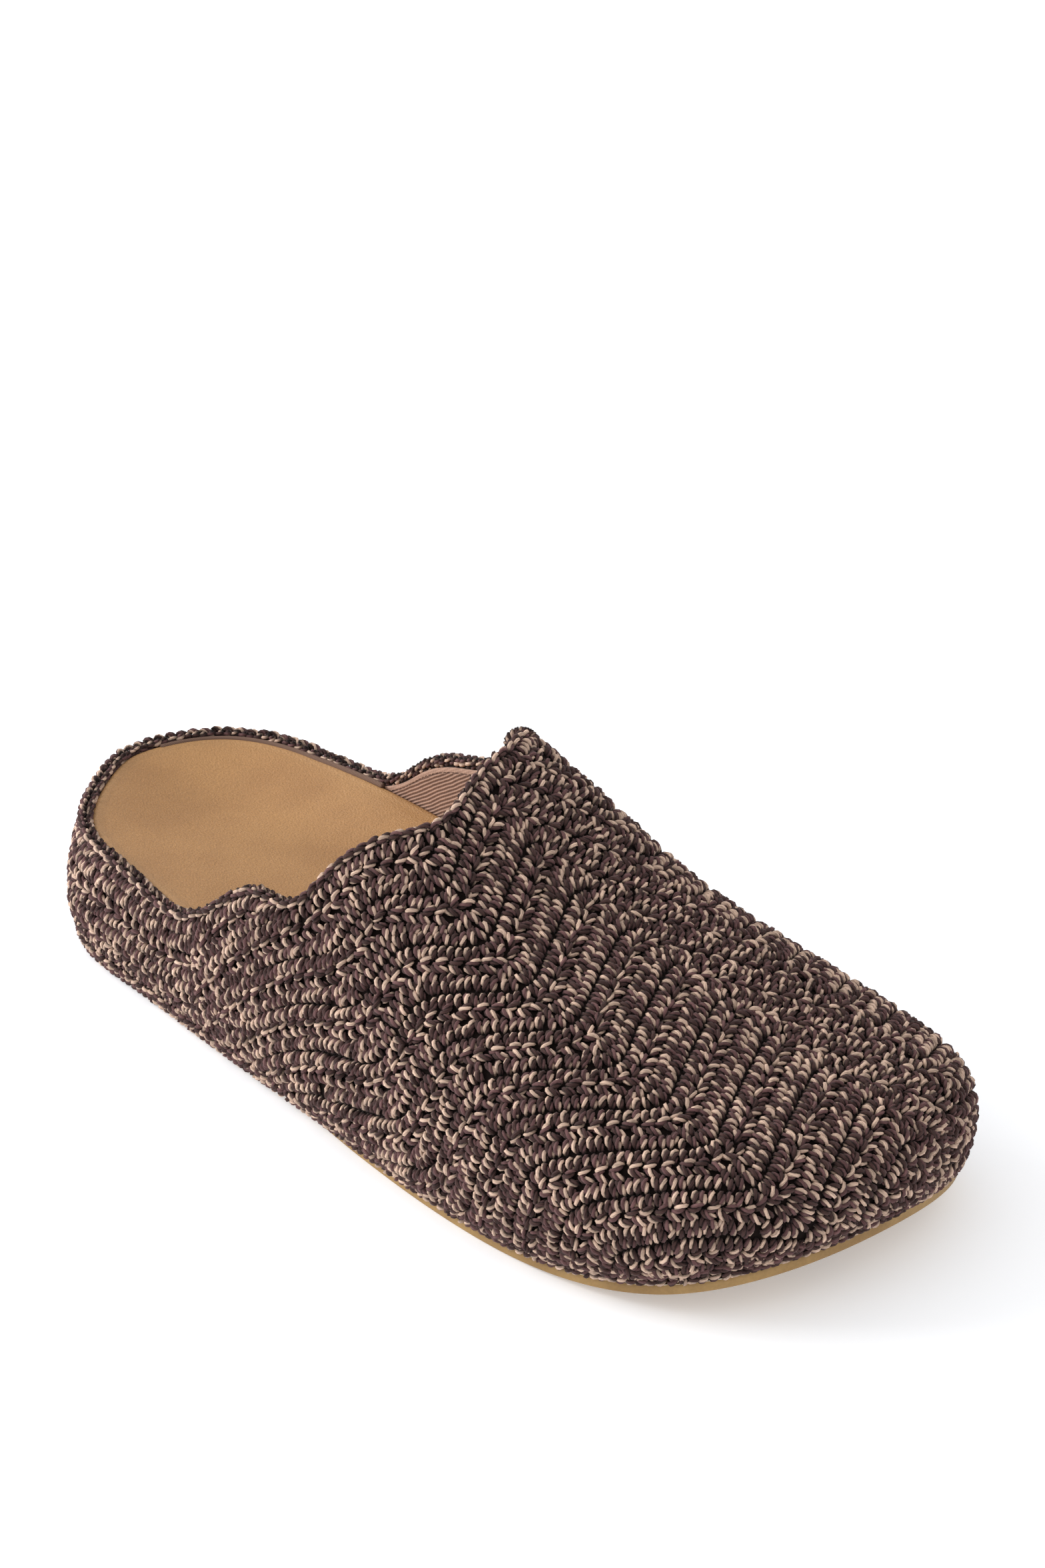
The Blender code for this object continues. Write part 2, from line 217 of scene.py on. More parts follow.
# Corners of the zigzag from the outer to the inner side: t at the first valley, its drift along x,
# and the slope dx/dt of the limb on the outer side of the corner
ZIGZAG = (
    ("outer_valley", -67.0, -0.32, 1.60),
    ("outer_peak", -49.0, -0.19, 0.20),
    ("valley", -36.5, 0.00, 1.05),
    ("peak", -12.0, 0.13, -0.55),
    ("inner_valley", 14.0, 0.10, 1.05),
    ("inner_peak", 44.0, 0.10, -0.55),
    ("sole_valley", 70.0, 0.10, 1.05),
)
LAST_SLOPE = -0.55
LIMB_MARGIN = 10.0

# Where the vamp's rows end: at the heel, at the edge's own stitches and under the foot; TOE_X divides
# the pieces of vamp and toe
HEEL_X = 84.0
TOE_X = 186.0
EDGE_BAND = 5.2
LOWEST_STITCH = -0.80
EDGE_SAMPLES = 260

# Rows round the heel: kind, distance below the rim, half length and lean
HEEL_ROWS = (
    ("leg", 7.6, 2.7, 0.42),
    ("chain", 11.0, 1.95, -0.5),
    ("chain", 12.8, 1.95, 0.5),
    ("leg", 15.2, 1.7, 0.15),
    ("leg", 18.6, 1.8, 0.3),
    ("chain", 21.3, 1.95, -0.5),
    ("chain", 23.1, 1.95, 0.5),
    ("leg", 25.5, 1.7, 0.15),
    ("leg", 28.8, 1.7, 0.15),
    ("leg", 31.9, 1.7, 0.15),
    ("leg", 34.9, 1.7, 0.15),
)

# Heel rows: gap where a row's ends meet, spacing of the edge's samples, steps of the walk down from the edge,
# overlap with the vamp and random spread of the lean
HEEL_SEAM = 0.5
HEEL_STEP = 1.0
HEEL_WALK = 8
HEEL_OVERLAP = 2
HEEL_LEAN_SPREAD = 0.18

# Edging: kind, distance below the edge, depth of the middle line and of the ends, lean, half length, spacing
EDGE_ROWS = (
    ("chain", 0.9, 0.45, 1.35, 0.4, 1.9, 3.0),
    ("leg", 3.6, 0.85, 1.75, 0.1, 1.8, 1.95),
    ("leg", 0.8, 2.55, 2.05, 0.85, 1.9, 2.1),
)
EDGE_LEAN_SPREAD = 0.12
EDGE_LENGTH_SPREAD = 0.06

# Chains along the wall's lower edge: inset and rise of each row, and the first row's height by x
SOLE_ROWS = ((3.5, 0.0), (2.6, 1.9))
SOLE_ROW_HEIGHTS = ((0.0, 1.7), (70.0, 1.75), (110.0, 2.5), (150.0, 3.4), (190.0, 3.9), (262.0, 3.9))
SOLE_ROW_TAUS = (0.004, 0.996, 500)
SOLE_ROW_SPACING = 2.3
SOLE_ROW_HALF = 1.9
SOLE_ROW_LEAN = (0.8, 0.35)
SOLE_ROW_CLIMB = 0.6
SOLE_ROW_DIVE = 0.8
SOLE_ROW_SPREAD = 0.15

# Round lobe of stitches that stands at the throat's tip
LOBE_CENTRE = (126.0, 18.6, 73.7)
LOBE_ACROSS = np.array((-0.652, -0.758, 0.0))
LOBE_FACING = np.array((0.758, -0.652, 0.0))
LOBE_RADIUS = 2.2
LOBE_STITCHES = 11
LOBE_HALF = 1.6
LOBE_DIVE = 0.9
LOBE_END_SWELL = 0.62

# Backing and lining: distance of the upper edge below the opening's edge, which fades out over a few columns
# at the throat's tip, and the depths of both faces below the last
SHELL_DROP = 1.2
SHELL_DEPTHS = (1.8, 3.0)
LINING_DROP = 2.1
LINING_DEPTHS = (3.02, 3.45)
DROP_FADE = 6.0
COLUMNS_RIM = 90
COLUMNS_VAMP = 40
COLUMN_SAMPLES = 200
WALL_POINTS = 30

# Twill lining and piping
TWILL_PITCH = 1.05
TWILL_SLOPE = 0.70
THREAD_PITCH = 0.7
HEM_LINE = 1.5
HEM_STITCH = 1.7
PIPING_RADIUS = 0.8
PIPING_INSET = 3.8
PIPING_RISE = 0.9
PIPING_ENDS = (0.002, 0.229)
PIPING_POINTS = 160
PIPING_SIDES = 8
PIPING_RIB = 0.5

# Traces of sole cement along the sole's upper edge
GLUE_START = 0.55
GLUE_RADII = (0.03, 0.28)
GLUE_SINK = 0.05
GLUE_POINTS = 260
GLUE_STEP = 0.8
GLUE_PATCH = 9
GLUE_LUMPS = (0.4, 0.3)
GLUE_GAIN = 1.6
GLUE_SIDES = 6

# Leather: fall of the lip, reach and falloff of the painted highlight on the lip, share of a bowl in the
# dish's form, rings of points
LIP_FALL = 0.55
LIP_HIGHLIGHT_REACH = 0.20
LIP_HIGHLIGHT_FALLOFF = 0.25
LIP_RINGS = (2.0, 2.8, 3.5, LIP_WIDTH)
SIDE_ROWS = 7
LIP_ROWS = 5
DISH_BOWL = 0.7
DISH_RINGS = 20
SOLE_COLUMNS = 110

# Contour grooves under the sole: each one's profile by distance and height, and how near to the middle
# the innermost may come, as a share of the way there
GROOVES = 5
GROOVE_PITCH = 7.0
GROOVE_PROFILE = ((1.6, 0.0), (1.2, 0.7), (0.4, 0.7), (0.0, 0.0))
GROOVE_LIMIT = 0.9
GROOVE_STEP = 0.02

# Edge of the sole: rounding at the top, height of the ring of points between as a share of the thickness,
# rings in the lower rounding, and the angle in degrees from which an edge is shaded sharp
SOLE_TOP_ROUND = 0.3
SOLE_EDGE_MIDDLE = 0.55
SOLE_ROUND_ROWS = 5
SHARP_ANGLE = 50

# Points nearer than these are joined
SHELL_WELD = 0.02
SOLE_WELD = 0.05

# Camera of the photo, a 1568 by 2352 frame
PHOTO_WIDTH = 1568
PHOTO_HEIGHT = 2352
FOCAL_PIXELS = 8206.0
CENTRE_PIXEL = (710.9, 1420.1)
CAMERA_TARGET = (131.0, 0.0, 30.0)
CAMERA_DISTANCE = 1244.5
CAMERA_AZIMUTH = 49.32
CAMERA_ELEVATION = 29.33
SENSOR = 36.0

# Light of the photo, in metres: a soft box low on the heel's side, a white room and a faintly glowing floor
KEY_PLACE = (-1.4, -1.0, 0.75)
KEY_TARGET = (0.0, 0.0, 0.03)
KEY_SIZE = 1.2
KEY_POWER = 33.0
WORLD_LIGHT = 0.86
FLOOR_SIZE = 12.0
FLOOR_WHITE = (0.90, 0.91, 0.93, 1.0)
FLOOR_GLOW = 0.30


# Curves and tables

def natural_spline(knots, values, at):
    """Cubic through the knots with straight ends."""
    knots, values, at = (np.asarray(a, float) for a in (knots, values, at))
    count = len(knots)
    gap = np.diff(knots)
    matrix = np.eye(count)
    right = np.zeros(count)
    for i in range(1, count - 1):
        matrix[i, i - 1:i + 2] = (gap[i - 1], 2 * (gap[i - 1] + gap[i]), gap[i])
        right[i] = 6 * ((values[i + 1] - values[i]) / gap[i] - (values[i] - values[i - 1]) / gap[i - 1])
    bend = np.linalg.solve(matrix, right)
    k = np.clip(np.searchsorted(knots, at) - 1, 0, count - 2)
    d = at - knots[k]
    slope = (values[k + 1] - values[k]) / gap[k] - gap[k] * (2 * bend[k] + bend[k + 1]) / 6
    return values[k] + d * slope + d * d * bend[k] / 2 + d ** 3 * (bend[k + 1] - bend[k]) / (6 * gap[k])


def smooth(t):
    t = np.clip(t, 0.0, 1.0)
    return t * t * (3 - 2 * t)


def unit(vectors):
    return vectors / np.maximum(np.linalg.norm(vectors, axis=-1, keepdims=True), 1e-12)


def lengths_along(lines):
    """Length from the first point to each point of a line, or of each of many lines."""
    steps = np.linalg.norm(np.diff(lines, axis=-2), axis=-1)
    return np.insert(np.cumsum(steps, axis=-1), 0, 0.0, axis=-1)


def points_at(wanted, lengths, line):
    """Points of a line at the wanted lengths along it."""
    return np.stack([np.interp(wanted, lengths, values) for values in line.T], -1)


def table_column(table, names, name):
    return np.array([row[names.index(name)] for row in table])


def tau_of(station):
    """Stations crowd at heel and toe, where the outline turns."""
    return np.arccos(1 - 2 * np.clip(station, 0.0, 1.0)) / np.pi


def station_of(tau):
    return (1 - np.cos(np.pi * np.asarray(tau, float))) / 2


def section(name, tau):
    stations = table_column(SECTIONS, SECTION_COLUMNS, "station")
    return natural_spline(tau_of(stations), table_column(SECTIONS, SECTION_COLUMNS, name), tau)


def footbed_height(name, station):
    stations = table_column(FOOTBED, FOOTBED_COLUMNS, "station")
    return natural_spline(stations, table_column(FOOTBED, FOOTBED_COLUMNS, name), station)


def opening(side, name):
    """One column of the table of a side's scalloped opening."""
    return table_column(LATERAL_TOPLINE if side == LATERAL else MEDIAL_TOPLINE, TOPLINE_COLUMNS, name)


# The last

def toe_lift(station):
    """Height that the toe spring adds to everything that follows the sole."""
    return TOE_SPRING * np.clip((station - SPRING_STATION) / (1 - SPRING_STATION), 0, 1) ** SPRING_POWER


def arch_lift(station):
    """Shallow arch under the waist, between the flat spots of heel and forefoot."""
    start, end = ARCH_STATIONS
    return ARCH_RISE * np.sin(np.pi * np.clip((station - start) / (end - start), 0, 1)) ** 2


def ridge_line(tau):
    """Middle line of the last, its height and the fullness of the section there."""
    station = np.clip(station_of(tau), *RIDGE_STATIONS)
    ridge_tau = tau_of(station)
    return (station * LENGTH, section("ridge_side", ridge_tau),
            section("ridge_height", ridge_tau), section("fullness", ridge_tau))


def outline(tau, side):
    """Widest line of the shoe in plan."""
    y = np.where(side == LATERAL, section("lateral", tau), section("medial", tau))
    return LENGTH * station_of(tau), y


def inset_edge(tau, side, inset):
    """Point of the outline moved towards the middle line, in plan."""
    x, y = outline(tau, side)
    ridge_x, ridge_y = ridge_line(tau)[:2]
    reach = 1 - inset / np.hypot(x - ridge_x, y - ridge_y)
    return np.array((ridge_x + (x - ridge_x) * reach, ridge_y + (y - ridge_y) * reach))


def sole_lift(tau, side):
    """Toe spring at the outsole's edge, which the wall over it follows."""
    return toe_lift(inset_edge(tau, side, SOLE_INSET)[0] / LENGTH)


def bulge_height(tau, side):
    """Height of the widest line."""
    return BULGE_HEIGHT + sole_lift(tau, side)


def toe_slope():
    """Slope of the ridge where it ends, which the toe's dome carries on."""
    station = np.array((RIDGE_STATIONS[1] - STEP, RIDGE_STATIONS[1]))
    low, high = section("ridge_height", tau_of(station))
    return (high - low) / (STEP * LENGTH)


TOE_SLOPE = toe_slope()


def last_point(tau, side, turn):
    """Point of the shoe's outer surface; turn is 1 on the ridge, 0 on the widest line and minus below it."""
    tau, side, turn = np.broadcast_arrays(np.asarray(tau, float), side, np.asarray(turn, float))
    x, y = outline(tau, side)
    ridge_x, ridge_y, ridge_z, fullness = ridge_line(tau)
    up = np.clip(turn, 0, 1) * np.pi / 2
    down = np.clip(-turn, 0, 1) * np.pi / 2
    bulge = bulge_height(tau, side)
    z = bulge + (ridge_z - bulge) * np.sin(up) ** (2 / fullness) - ROLL_DEPTH * np.sin(down)
    reach = np.abs(np.cos(up)) ** (2 / fullness)
    z = z + TOE_SLOPE * np.maximum(x - LENGTH * RIDGE_STATIONS[1], 0) * reach * np.sin(up)
    reach = reach - ROLL_INSET * (1 - np.cos(down)) / np.hypot(x - ridge_x, y - ridge_y)
    return np.stack((ridge_x + (x - ridge_x) * reach, ridge_y + (y - ridge_y) * reach, z), -1)


def side_normal(tau, side, turn):
    turn = np.minimum(turn, 1 - 2 * STEP)
    along = (last_point(np.minimum(tau + STEP, 1), side, turn)
             - last_point(np.maximum(tau - STEP, 0), side, turn))
    upward = last_point(tau, side, turn + STEP) - last_point(tau, side, turn - STEP)
    return unit(np.cross(along, upward) * -np.asarray(side)[..., None])


def last_normal(tau, side, turn):
    """Outward direction of the shoe's outer surface, the mean of both sides on the ridge."""
    tau, side, turn = np.broadcast_arrays(np.asarray(tau, float), side, np.asarray(turn, float))
    normal = side_normal(tau, side, turn)
    ridge = (turn > 1 - 2 * STEP)[..., None]
    return np.where(ridge, unit(normal + side_normal(tau, -side, turn)), normal)


def turn_at_height(tau, side, z):
    """Turn at which the outer surface reaches a height."""
    ridge_z, fullness = ridge_line(tau)[2:]
    bulge = bulge_height(tau, side)
    above = np.clip((z - bulge) / (ridge_z - bulge), 0, 1)
    below = np.clip((bulge - z) / ROLL_DEPTH, 0, 1)
    return (np.arcsin(above ** (fullness / 2)) - np.arcsin(below)) * 2 / np.pi


def topline(side, count):
    """Tau, turn, foot tau and sweep of columns spaced evenly from the heel's back to the ridge."""
    scallop_tau = tau_of(opening(side, "station"))
    rim_tau = np.linspace(0, scallop_tau[0], RIM_NODES, endpoint=False)
    tau = np.concatenate((rim_tau, scallop_tau))
    turn = np.concatenate((turn_at_height(rim_tau, side, RIM_HEIGHT), opening(side, "angle") / 90))
    foot = np.concatenate((rim_tau, tau_of(opening(side, "foot_station"))))
    chord = lengths_along(last_point(tau, side, turn))
    even = np.linspace(0, chord[-1], count)
    sweep = 1 - (1 - CORNER_SWEEP) * smooth(1 - (chord[-1] - even) / SWEEP_CHORD)
    return (natural_spline(chord, tau, even), np.clip(natural_spline(chord, turn, even), 0, 1),
            np.interp(even, chord, foot), sweep)


def vamp(side, count):
    """Tau, turn, foot tau and sweep of the columns from the opening to the toe, which end on the ridge."""
    top_start = opening(side, "station")[-1]
    foot_start = opening(side, "foot_station")[-1]
    number = np.arange(1, count + 1)
    share = station_of(0.5 + 0.5 * number / count) * 2 - 1
    top = tau_of(top_start + (1 - top_start) * share)
    foot = tau_of(foot_start + (1 - foot_start) * share)
    return top, np.ones(count), foot, CORNER_SWEEP * smooth(1 - number / (count * SWEEP_SHARE))


def wall_path(share, top_tau, top_turn, foot_tau, sweep):
    """Tau and turn along a column: a sweep of 0 is straight, 1 rises first and then runs back."""
    rise = sweep * 2 * share * (1 - share) + share ** 2
    return foot_tau + (top_tau - foot_tau) * share ** 2, -ROLL_END + (top_turn + ROLL_END) * rise


def shoe_middle():
    """Middle of the shoe's box in plan, which is the part's origin."""
    tau = np.linspace(0, 1, OUTLINE_SAMPLES)
    low = outline(tau, LATERAL)[1].min()
    high = outline(tau, MEDIAL)[1].max()
    return np.array((LENGTH / 2, (low + high) / 2, 0.0))


MIDDLE = shoe_middle()


def to_frame(points):
    return (np.asarray(points, float) - MIDDLE) * MM


# The flat chart

def arc_table(side):
    """Turn at even lengths down the wall from the ridge, a row for each tau."""
    taus = np.linspace(0, 1, ARC_TAUS)
    turns = np.linspace(1, LOWEST_TURN, ARC_TURNS)
    points = last_point(taus[:, None], side, turns[None])
    even = np.arange(0, CHART_T[1] + CHART_STEP, CHART_STEP / 2)
    return np.array([np.interp(even, lengths_along(line), turns) for line in points])


ARC_TABLES = {side: arc_table(side) for side in SIDES}


def grid_value(grid, row, column):
    """Value between the points of a grid."""
    row = np.clip(row, 0, grid.shape[0] - 1.001)
    column = np.clip(column, 0, grid.shape[1] - 1.001)
    i, j = row.astype(int), column.astype(int)
    a, b = row - i, column - j
    if grid.ndim == 3:
        a, b = a[..., None], b[..., None]
    low = grid[i, j] * (1 - b) + grid[i, j + 1] * b
    high = grid[i + 1, j] * (1 - b) + grid[i + 1, j + 1] * b
    return low * (1 - a) + high * a


def from_ridge(tau, side):
    """Direction in plan from the ridge to the outline, and the ridge's x."""
    x, y = outline(tau, side)
    ridge_x, ridge_y = ridge_line(tau)[:2]
    return np.arctan2(y - ridge_y, x - ridge_x), ridge_x


def end_directions(side, end):
    """Direction from the ridge's end to the outline and its tau, round the heel or the toe."""
    tau = np.linspace(tau_of(RIDGE_STATIONS[end]), end, END_SAMPLES)
    angle = from_ridge(tau, side)[0]
    if end == 0:
        angle = angle % (2 * np.pi)
    order = np.argsort(angle)
    return angle[order], tau[order]


def chart_to_last(x, t):
    """Side, tau and length from the ridge of a point of the chart."""
    side = np.where(t >= 0, MEDIAL, LATERAL)
    tau = tau_of(x / LENGTH)
    length = np.abs(t)
    for end, beyond in ((0, x < LENGTH * RIDGE_STATIONS[0]), (1, x > LENGTH * RIDGE_STATIONS[1])):
        from_end = x - LENGTH * RIDGE_STATIONS[end]
        angle = np.arctan2(t, from_end)
        if end == 0:
            angle = angle % (2 * np.pi)
        medial_angle, medial_tau = end_directions(MEDIAL, end)
        lateral_angle, lateral_tau = end_directions(LATERAL, end)
        inner = angle < medial_angle[-1] if end == 0 else angle > medial_angle[0]
        end_tau = np.where(inner, np.interp(angle, medial_angle, medial_tau),
                           np.interp(angle, lateral_angle, lateral_tau))
        side = np.where(beyond, np.where(inner, MEDIAL, LATERAL), side)
        tau = np.where(beyond, end_tau, tau)
        length = np.where(beyond, np.hypot(from_end, t), length)
    return side, tau, length


def turn_at_length(side, tau, length):
    row = tau * (ARC_TAUS - 1)
    column = length / (CHART_STEP / 2)
    return np.where(side == LATERAL, grid_value(ARC_TABLES[LATERAL], row, column),
                    grid_value(ARC_TABLES[MEDIAL], row, column))


def last_to_chart(side, tau, turn):
    """Chart place of points on the last."""
    turns = 1 + (turn[:, None] - 1) * np.linspace(0, 1, ARC_SAMPLES)[None]
    length = lengths_along(last_point(tau[:, None], side, turns))[:, -1]
    angle, ridge_x = from_ridge(tau, side)
    return np.stack((ridge_x + length * np.cos(angle), length * np.sin(angle)), -1)


class Chart:
    """Points, normals and turns of the last on an even grid of the chart."""

    def __init__(self):
        xs = np.arange(CHART_X[0], CHART_X[1] + CHART_STEP, CHART_STEP)
        ts = np.arange(CHART_T[0], CHART_T[1] + CHART_STEP, CHART_STEP)
        x, t = np.meshgrid(xs, ts, indexing="ij")
        side, tau, length = chart_to_last(x, t)
        self.turns = turn_at_length(side, tau, length)
        self.points = last_point(tau, side, self.turns)
        self.by_x = np.gradient(self.points, CHART_STEP, axis=0)
        self.by_t = np.gradient(self.points, CHART_STEP, axis=1)
        self.normals = unit(np.cross(self.by_x, self.by_t))

    def at(self, grid, place):
        row = (place[..., 0] - CHART_X[0]) / CHART_STEP
        column = (place[..., 1] - CHART_T[0]) / CHART_STEP
        return grid_value(grid, row, column)

    def point(self, place):
        return self.at(self.points, place)

    def normal(self, place):
        return unit(self.at(self.normals, place))

    def turn(self, place):
        return self.at(self.turns, place)

    def walk(self, place, direction, distance, steps=3):
        """Place after going a distance over the surface, in millimetres, towards a direction."""
        distance = np.broadcast_to(distance, place.shape[:-1])
        for _ in range(steps):
            by_x = self.at(self.by_x, place)
            by_t = self.at(self.by_t, place)
            move = direction * (distance / steps)[..., None]
            xx, xt, tt = ((a * b).sum(-1) for a, b in ((by_x, by_x), (by_x, by_t), (by_t, by_t)))
            mx, mt = (by_x * move).sum(-1), (by_t * move).sum(-1)
            scale = np.maximum(xx * tt - xt * xt, 1e-6)
            place = place + np.stack(((tt * mx - xt * mt) / scale, (xx * mt - xt * mx) / scale), -1)
        return place


chart = Chart()


# Materials

class Graph:
    """Short names for the nodes of one material."""

    def __init__(self, name):
        self.material = bpy.data.materials.new(name)
        self.material.use_nodes = True
        self.tree = self.material.node_tree
        self.shader = self.tree.nodes["Principled BSDF"]

    def feed(self, socket, value):
        if isinstance(value, bpy.types.NodeSocket):
            self.tree.links.new(value, socket)
        else:
            socket.default_value = value

    def node(self, kind, inputs=(), **settings):
        """Outputs of a new node, whose inputs are given by name or number."""
        made = self.tree.nodes.new("ShaderNode" + kind)
        for name, value in settings.items():
            setattr(made, name, value)
        for name, value in dict(inputs).items():
            self.feed(made.inputs[name], value)
        return made.outputs

    def uv(self, name):
        return self.node("UVMap", uv_map=name)[0]

    def place(self):
        return self.node("TexCoord")["Object"]

    def split(self, vector):
        return self.node("SeparateXYZ", {0: vector})

    def math(self, operation, a, b=0.0):
        return self.node("Math", {0: a, 1: b}, operation=operation)[0]

    def times(self, product, *factors):
        for factor in factors:
            product = self.math("MULTIPLY", product, factor)
        return product

    def away(self, value, middle):
        """Distance of a value from another."""
        return self.math("ABSOLUTE", self.math("SUBTRACT", value, middle))

    def wave(self, value, pitch):
        return self.math("SINE", self.times(value, 2 * math.pi / pitch))

    def vector(self, operation, a, b=(0.0, 0.0, 0.0)):
        return self.node("VectorMath", {0: a, 1: b}, operation=operation)[0]

    def scaled(self, vector, amount):
        return self.node("VectorMath", {0: vector, "Scale": amount}, operation="SCALE")[0]

    def remap(self, value, low, high, start=0.0, end=1.0):
        inputs = enumerate((value, low, high, start, end))
        return self.node("MapRange", inputs, interpolation_type="SMOOTHSTEP")[0]

    def noise(self, vector, scale, detail=2.0, roughness=0.5):
        inputs = {"Vector": vector, "Scale": scale, "Detail": detail, "Roughness": roughness}
        return self.node("TexNoise", inputs)["Fac"]

    def mix(self, share, a, b):
        return self.node("Mix", {"Factor": share, 6: a, 7: b}, data_type="RGBA")[2]

    def bump(self, height, strength, distance):
        made = self.node("Bump", {"Strength": strength, "Distance": distance, "Height": height})
        self.feed(self.shader.inputs["Normal"], made[0])

    def surface(self, **values):
        for name, value in values.items():
            self.feed(self.shader.inputs[name.replace("_", " ")], value)
        return self.material


def linear(*colour):
    """Linear colour of an sRGB one given in 0 to 255."""
    shares = [value / 255 for value in colour]
    lit = [share / 12.92 if share <= 0.04045 else ((share + 0.055) / 1.055) ** 2.4 for share in shares]
    return (*lit, 1.0)


def yarn_material():
    """Marled cotton: one tan ply and two dark ones, with fibres along each ply, and painted shade in the
    creases between plies and at the sunk tips of each stitch.
    """
    g = Graph("marled_yarn_stitches")
    tiled = g.scaled(g.uv("OFBake"), float(TILES))
    local = g.split(g.vector("FRACTION", tiled))
    ply = g.times(local[1], float(PLIES))
    tan_share = g.math("LESS_THAN", ply, 1.0)
    lilac_share = g.math("GREATER_THAN", ply, 2.0)
    tile = g.node("TexWhiteNoise", {0: g.vector("FLOOR", tiled)}, noise_dimensions="2D")["Value"]
    fibre = g.noise(g.vector("MULTIPLY", tiled, (2.2, 34.0, 1.0)), 1.0, 3.0, 0.6)
    cloud = g.noise(g.vector("MULTIPLY", tiled, (1.3, 1.7, 1.0)), 1.0)
    dark = g.mix(lilac_share, linear(74, 53, 50), linear(102, 73, 72))
    colour = g.mix(tan_share, dark, linear(207, 177, 157))
    # Painted shade: the colour darkens in the creases between the plies and towards both tips of a stitch,
    # where the yarn dives into the work; the fibre, tile and cloud factors are the yarn's own uneven tone.
    crease = g.away(g.math("FRACT", ply), 0.5)
    tip = g.away(local[0], 0.5)
    light = g.times(g.remap(crease, 0.26, 0.5, 1.0, 0.22), g.remap(fibre, 0.34, 0.66, 0.64, 1.26),
                    g.remap(tip, 0.26, 0.47, 1.0, 0.22), g.remap(tile, 0.0, 1.0, 0.84, 1.14),
                    g.remap(cloud, 0.2, 0.8, 0.88, 1.1))
    g.bump(fibre, 0.8, 0.00025)
    return g.surface(Base_Color=g.scaled(colour, light), Roughness=0.85, Sheen_Weight=0.06,
                     Specular_IOR_Level=0.15)


def painted_shade_backing_material():
    """Inside of the crochet, seen between the stitches: it stands for the yarn deep in the work, and its
    near-black colour is painted shade.
    """
    g = Graph("crochet_backing_painted_shade")
    speckle = g.noise(g.place(), 900.0)
    g.bump(speckle, 0.6, 0.0006)
    return g.surface(Base_Color=g.mix(speckle, linear(14, 10, 9), linear(34, 25, 22)), Roughness=0.95,
                     Specular_IOR_Level=0.1)


def lining_material():
    """Taupe cotton twill with close diagonal ribs and a stitched hem along its upper edge."""
    g = Graph("twill_lining")
    place = g.uv("cloth")
    cloth = g.split(place)
    hem = g.split(g.uv("hem"))
    across = g.math("ADD", g.times(cloth[0], TWILL_SLOPE), cloth[1])
    across = g.math("ADD", across, g.times(g.noise(place, 0.12), 0.8))
    folded = g.remap(hem[1], HEM_LINE - 0.3, HEM_LINE, 1.0, 0.0)
    rib = g.times(g.wave(across, TWILL_PITCH), g.math("SUBTRACT", 1.0, g.times(folded, 0.8)))
    line = g.remap(g.away(hem[1], HEM_LINE), 0.12, 0.3, 1.0, 0.0)
    stitch = g.times(line, g.math("GREATER_THAN", g.math("FRACT", g.times(hem[0], 1 / HEM_STITCH)), 0.3))
    colour = g.mix(g.remap(rib, -0.9, 0.3), linear(122, 93, 80), linear(178, 143, 124))
    colour = g.mix(g.times(stitch, 0.7), colour, linear(96, 72, 62))
    colour = g.scaled(colour, g.remap(g.noise(place, 0.35, 3.0), 0.25, 0.75, 0.9, 1.08))
    weave = g.math("ADD", g.times(rib, 0.5), g.times(g.wave(cloth[0], THREAD_PITCH), 0.12))
    g.bump(g.math("SUBTRACT", weave, stitch), 0.6, 0.0004)
    return g.surface(Base_Color=colour, Roughness=0.88, Sheen_Weight=0.1, Specular_IOR_Level=0.2)


def piping_material():
    """Taupe tape sewn over the footbed's edge, finely ribbed across."""
    g = Graph("taupe_piping")
    cloth = g.split(g.uv("cloth"))
    rib = g.wave(g.math("ADD", cloth[0], cloth[1]), PIPING_RIB)
    g.bump(rib, 0.5, 0.0002)
    return g.surface(Base_Color=g.mix(g.remap(rib, -1.0, 0.6), linear(92, 72, 62), linear(142, 114, 99)),
                     Roughness=0.9, Specular_IOR_Level=0.15)


def leather_material():
    """Smooth tan leather: fine short-creased grain, clouded colour and a painted highlight that lightens the
    rolled lip.
    """
    g = Graph("tan_leather_footbed")
    place = g.place()
    lip = g.node("Attribute", attribute_name="lip")["Fac"]
    stretched = g.node("Mapping", {"Vector": place, "Rotation": (0.0, 0.0, 0.6), "Scale": (1.0, 2.4, 1.0)})[0]
    crease = g.noise(stretched, 1700.0, 3.0, 0.6)
    pebble = g.node("TexVoronoi", {"Vector": place, "Scale": 1700.0})["Distance"]
    cloud = g.noise(place, 34.0, 3.0, 0.55)
    speck = g.noise(place, 5200.0, 1.0)
    colour = g.mix(g.remap(cloud, 0.3, 0.7), linear(163, 118, 71), linear(177, 131, 81))
    # Painted highlight: where the lip attribute is high the colour is lightened towards a pale tan, along the
    # rolled lip.
    colour = g.mix(g.times(lip, 0.35), colour, linear(186, 146, 102))
    colour = g.scaled(colour, g.remap(crease, 0.3, 0.7, 0.86, 1.09))
    colour = g.scaled(colour, g.remap(speck, 0.3, 0.7, 0.95, 1.05))
    g.bump(g.math("ADD", crease, g.times(pebble, 0.5)), 0.7, 0.0003)
    roughness = g.remap(crease, 0.3, 0.7, 0.56, 0.44)
    return g.surface(Base_Color=colour, Roughness=roughness, Specular_IOR_Level=0.4)


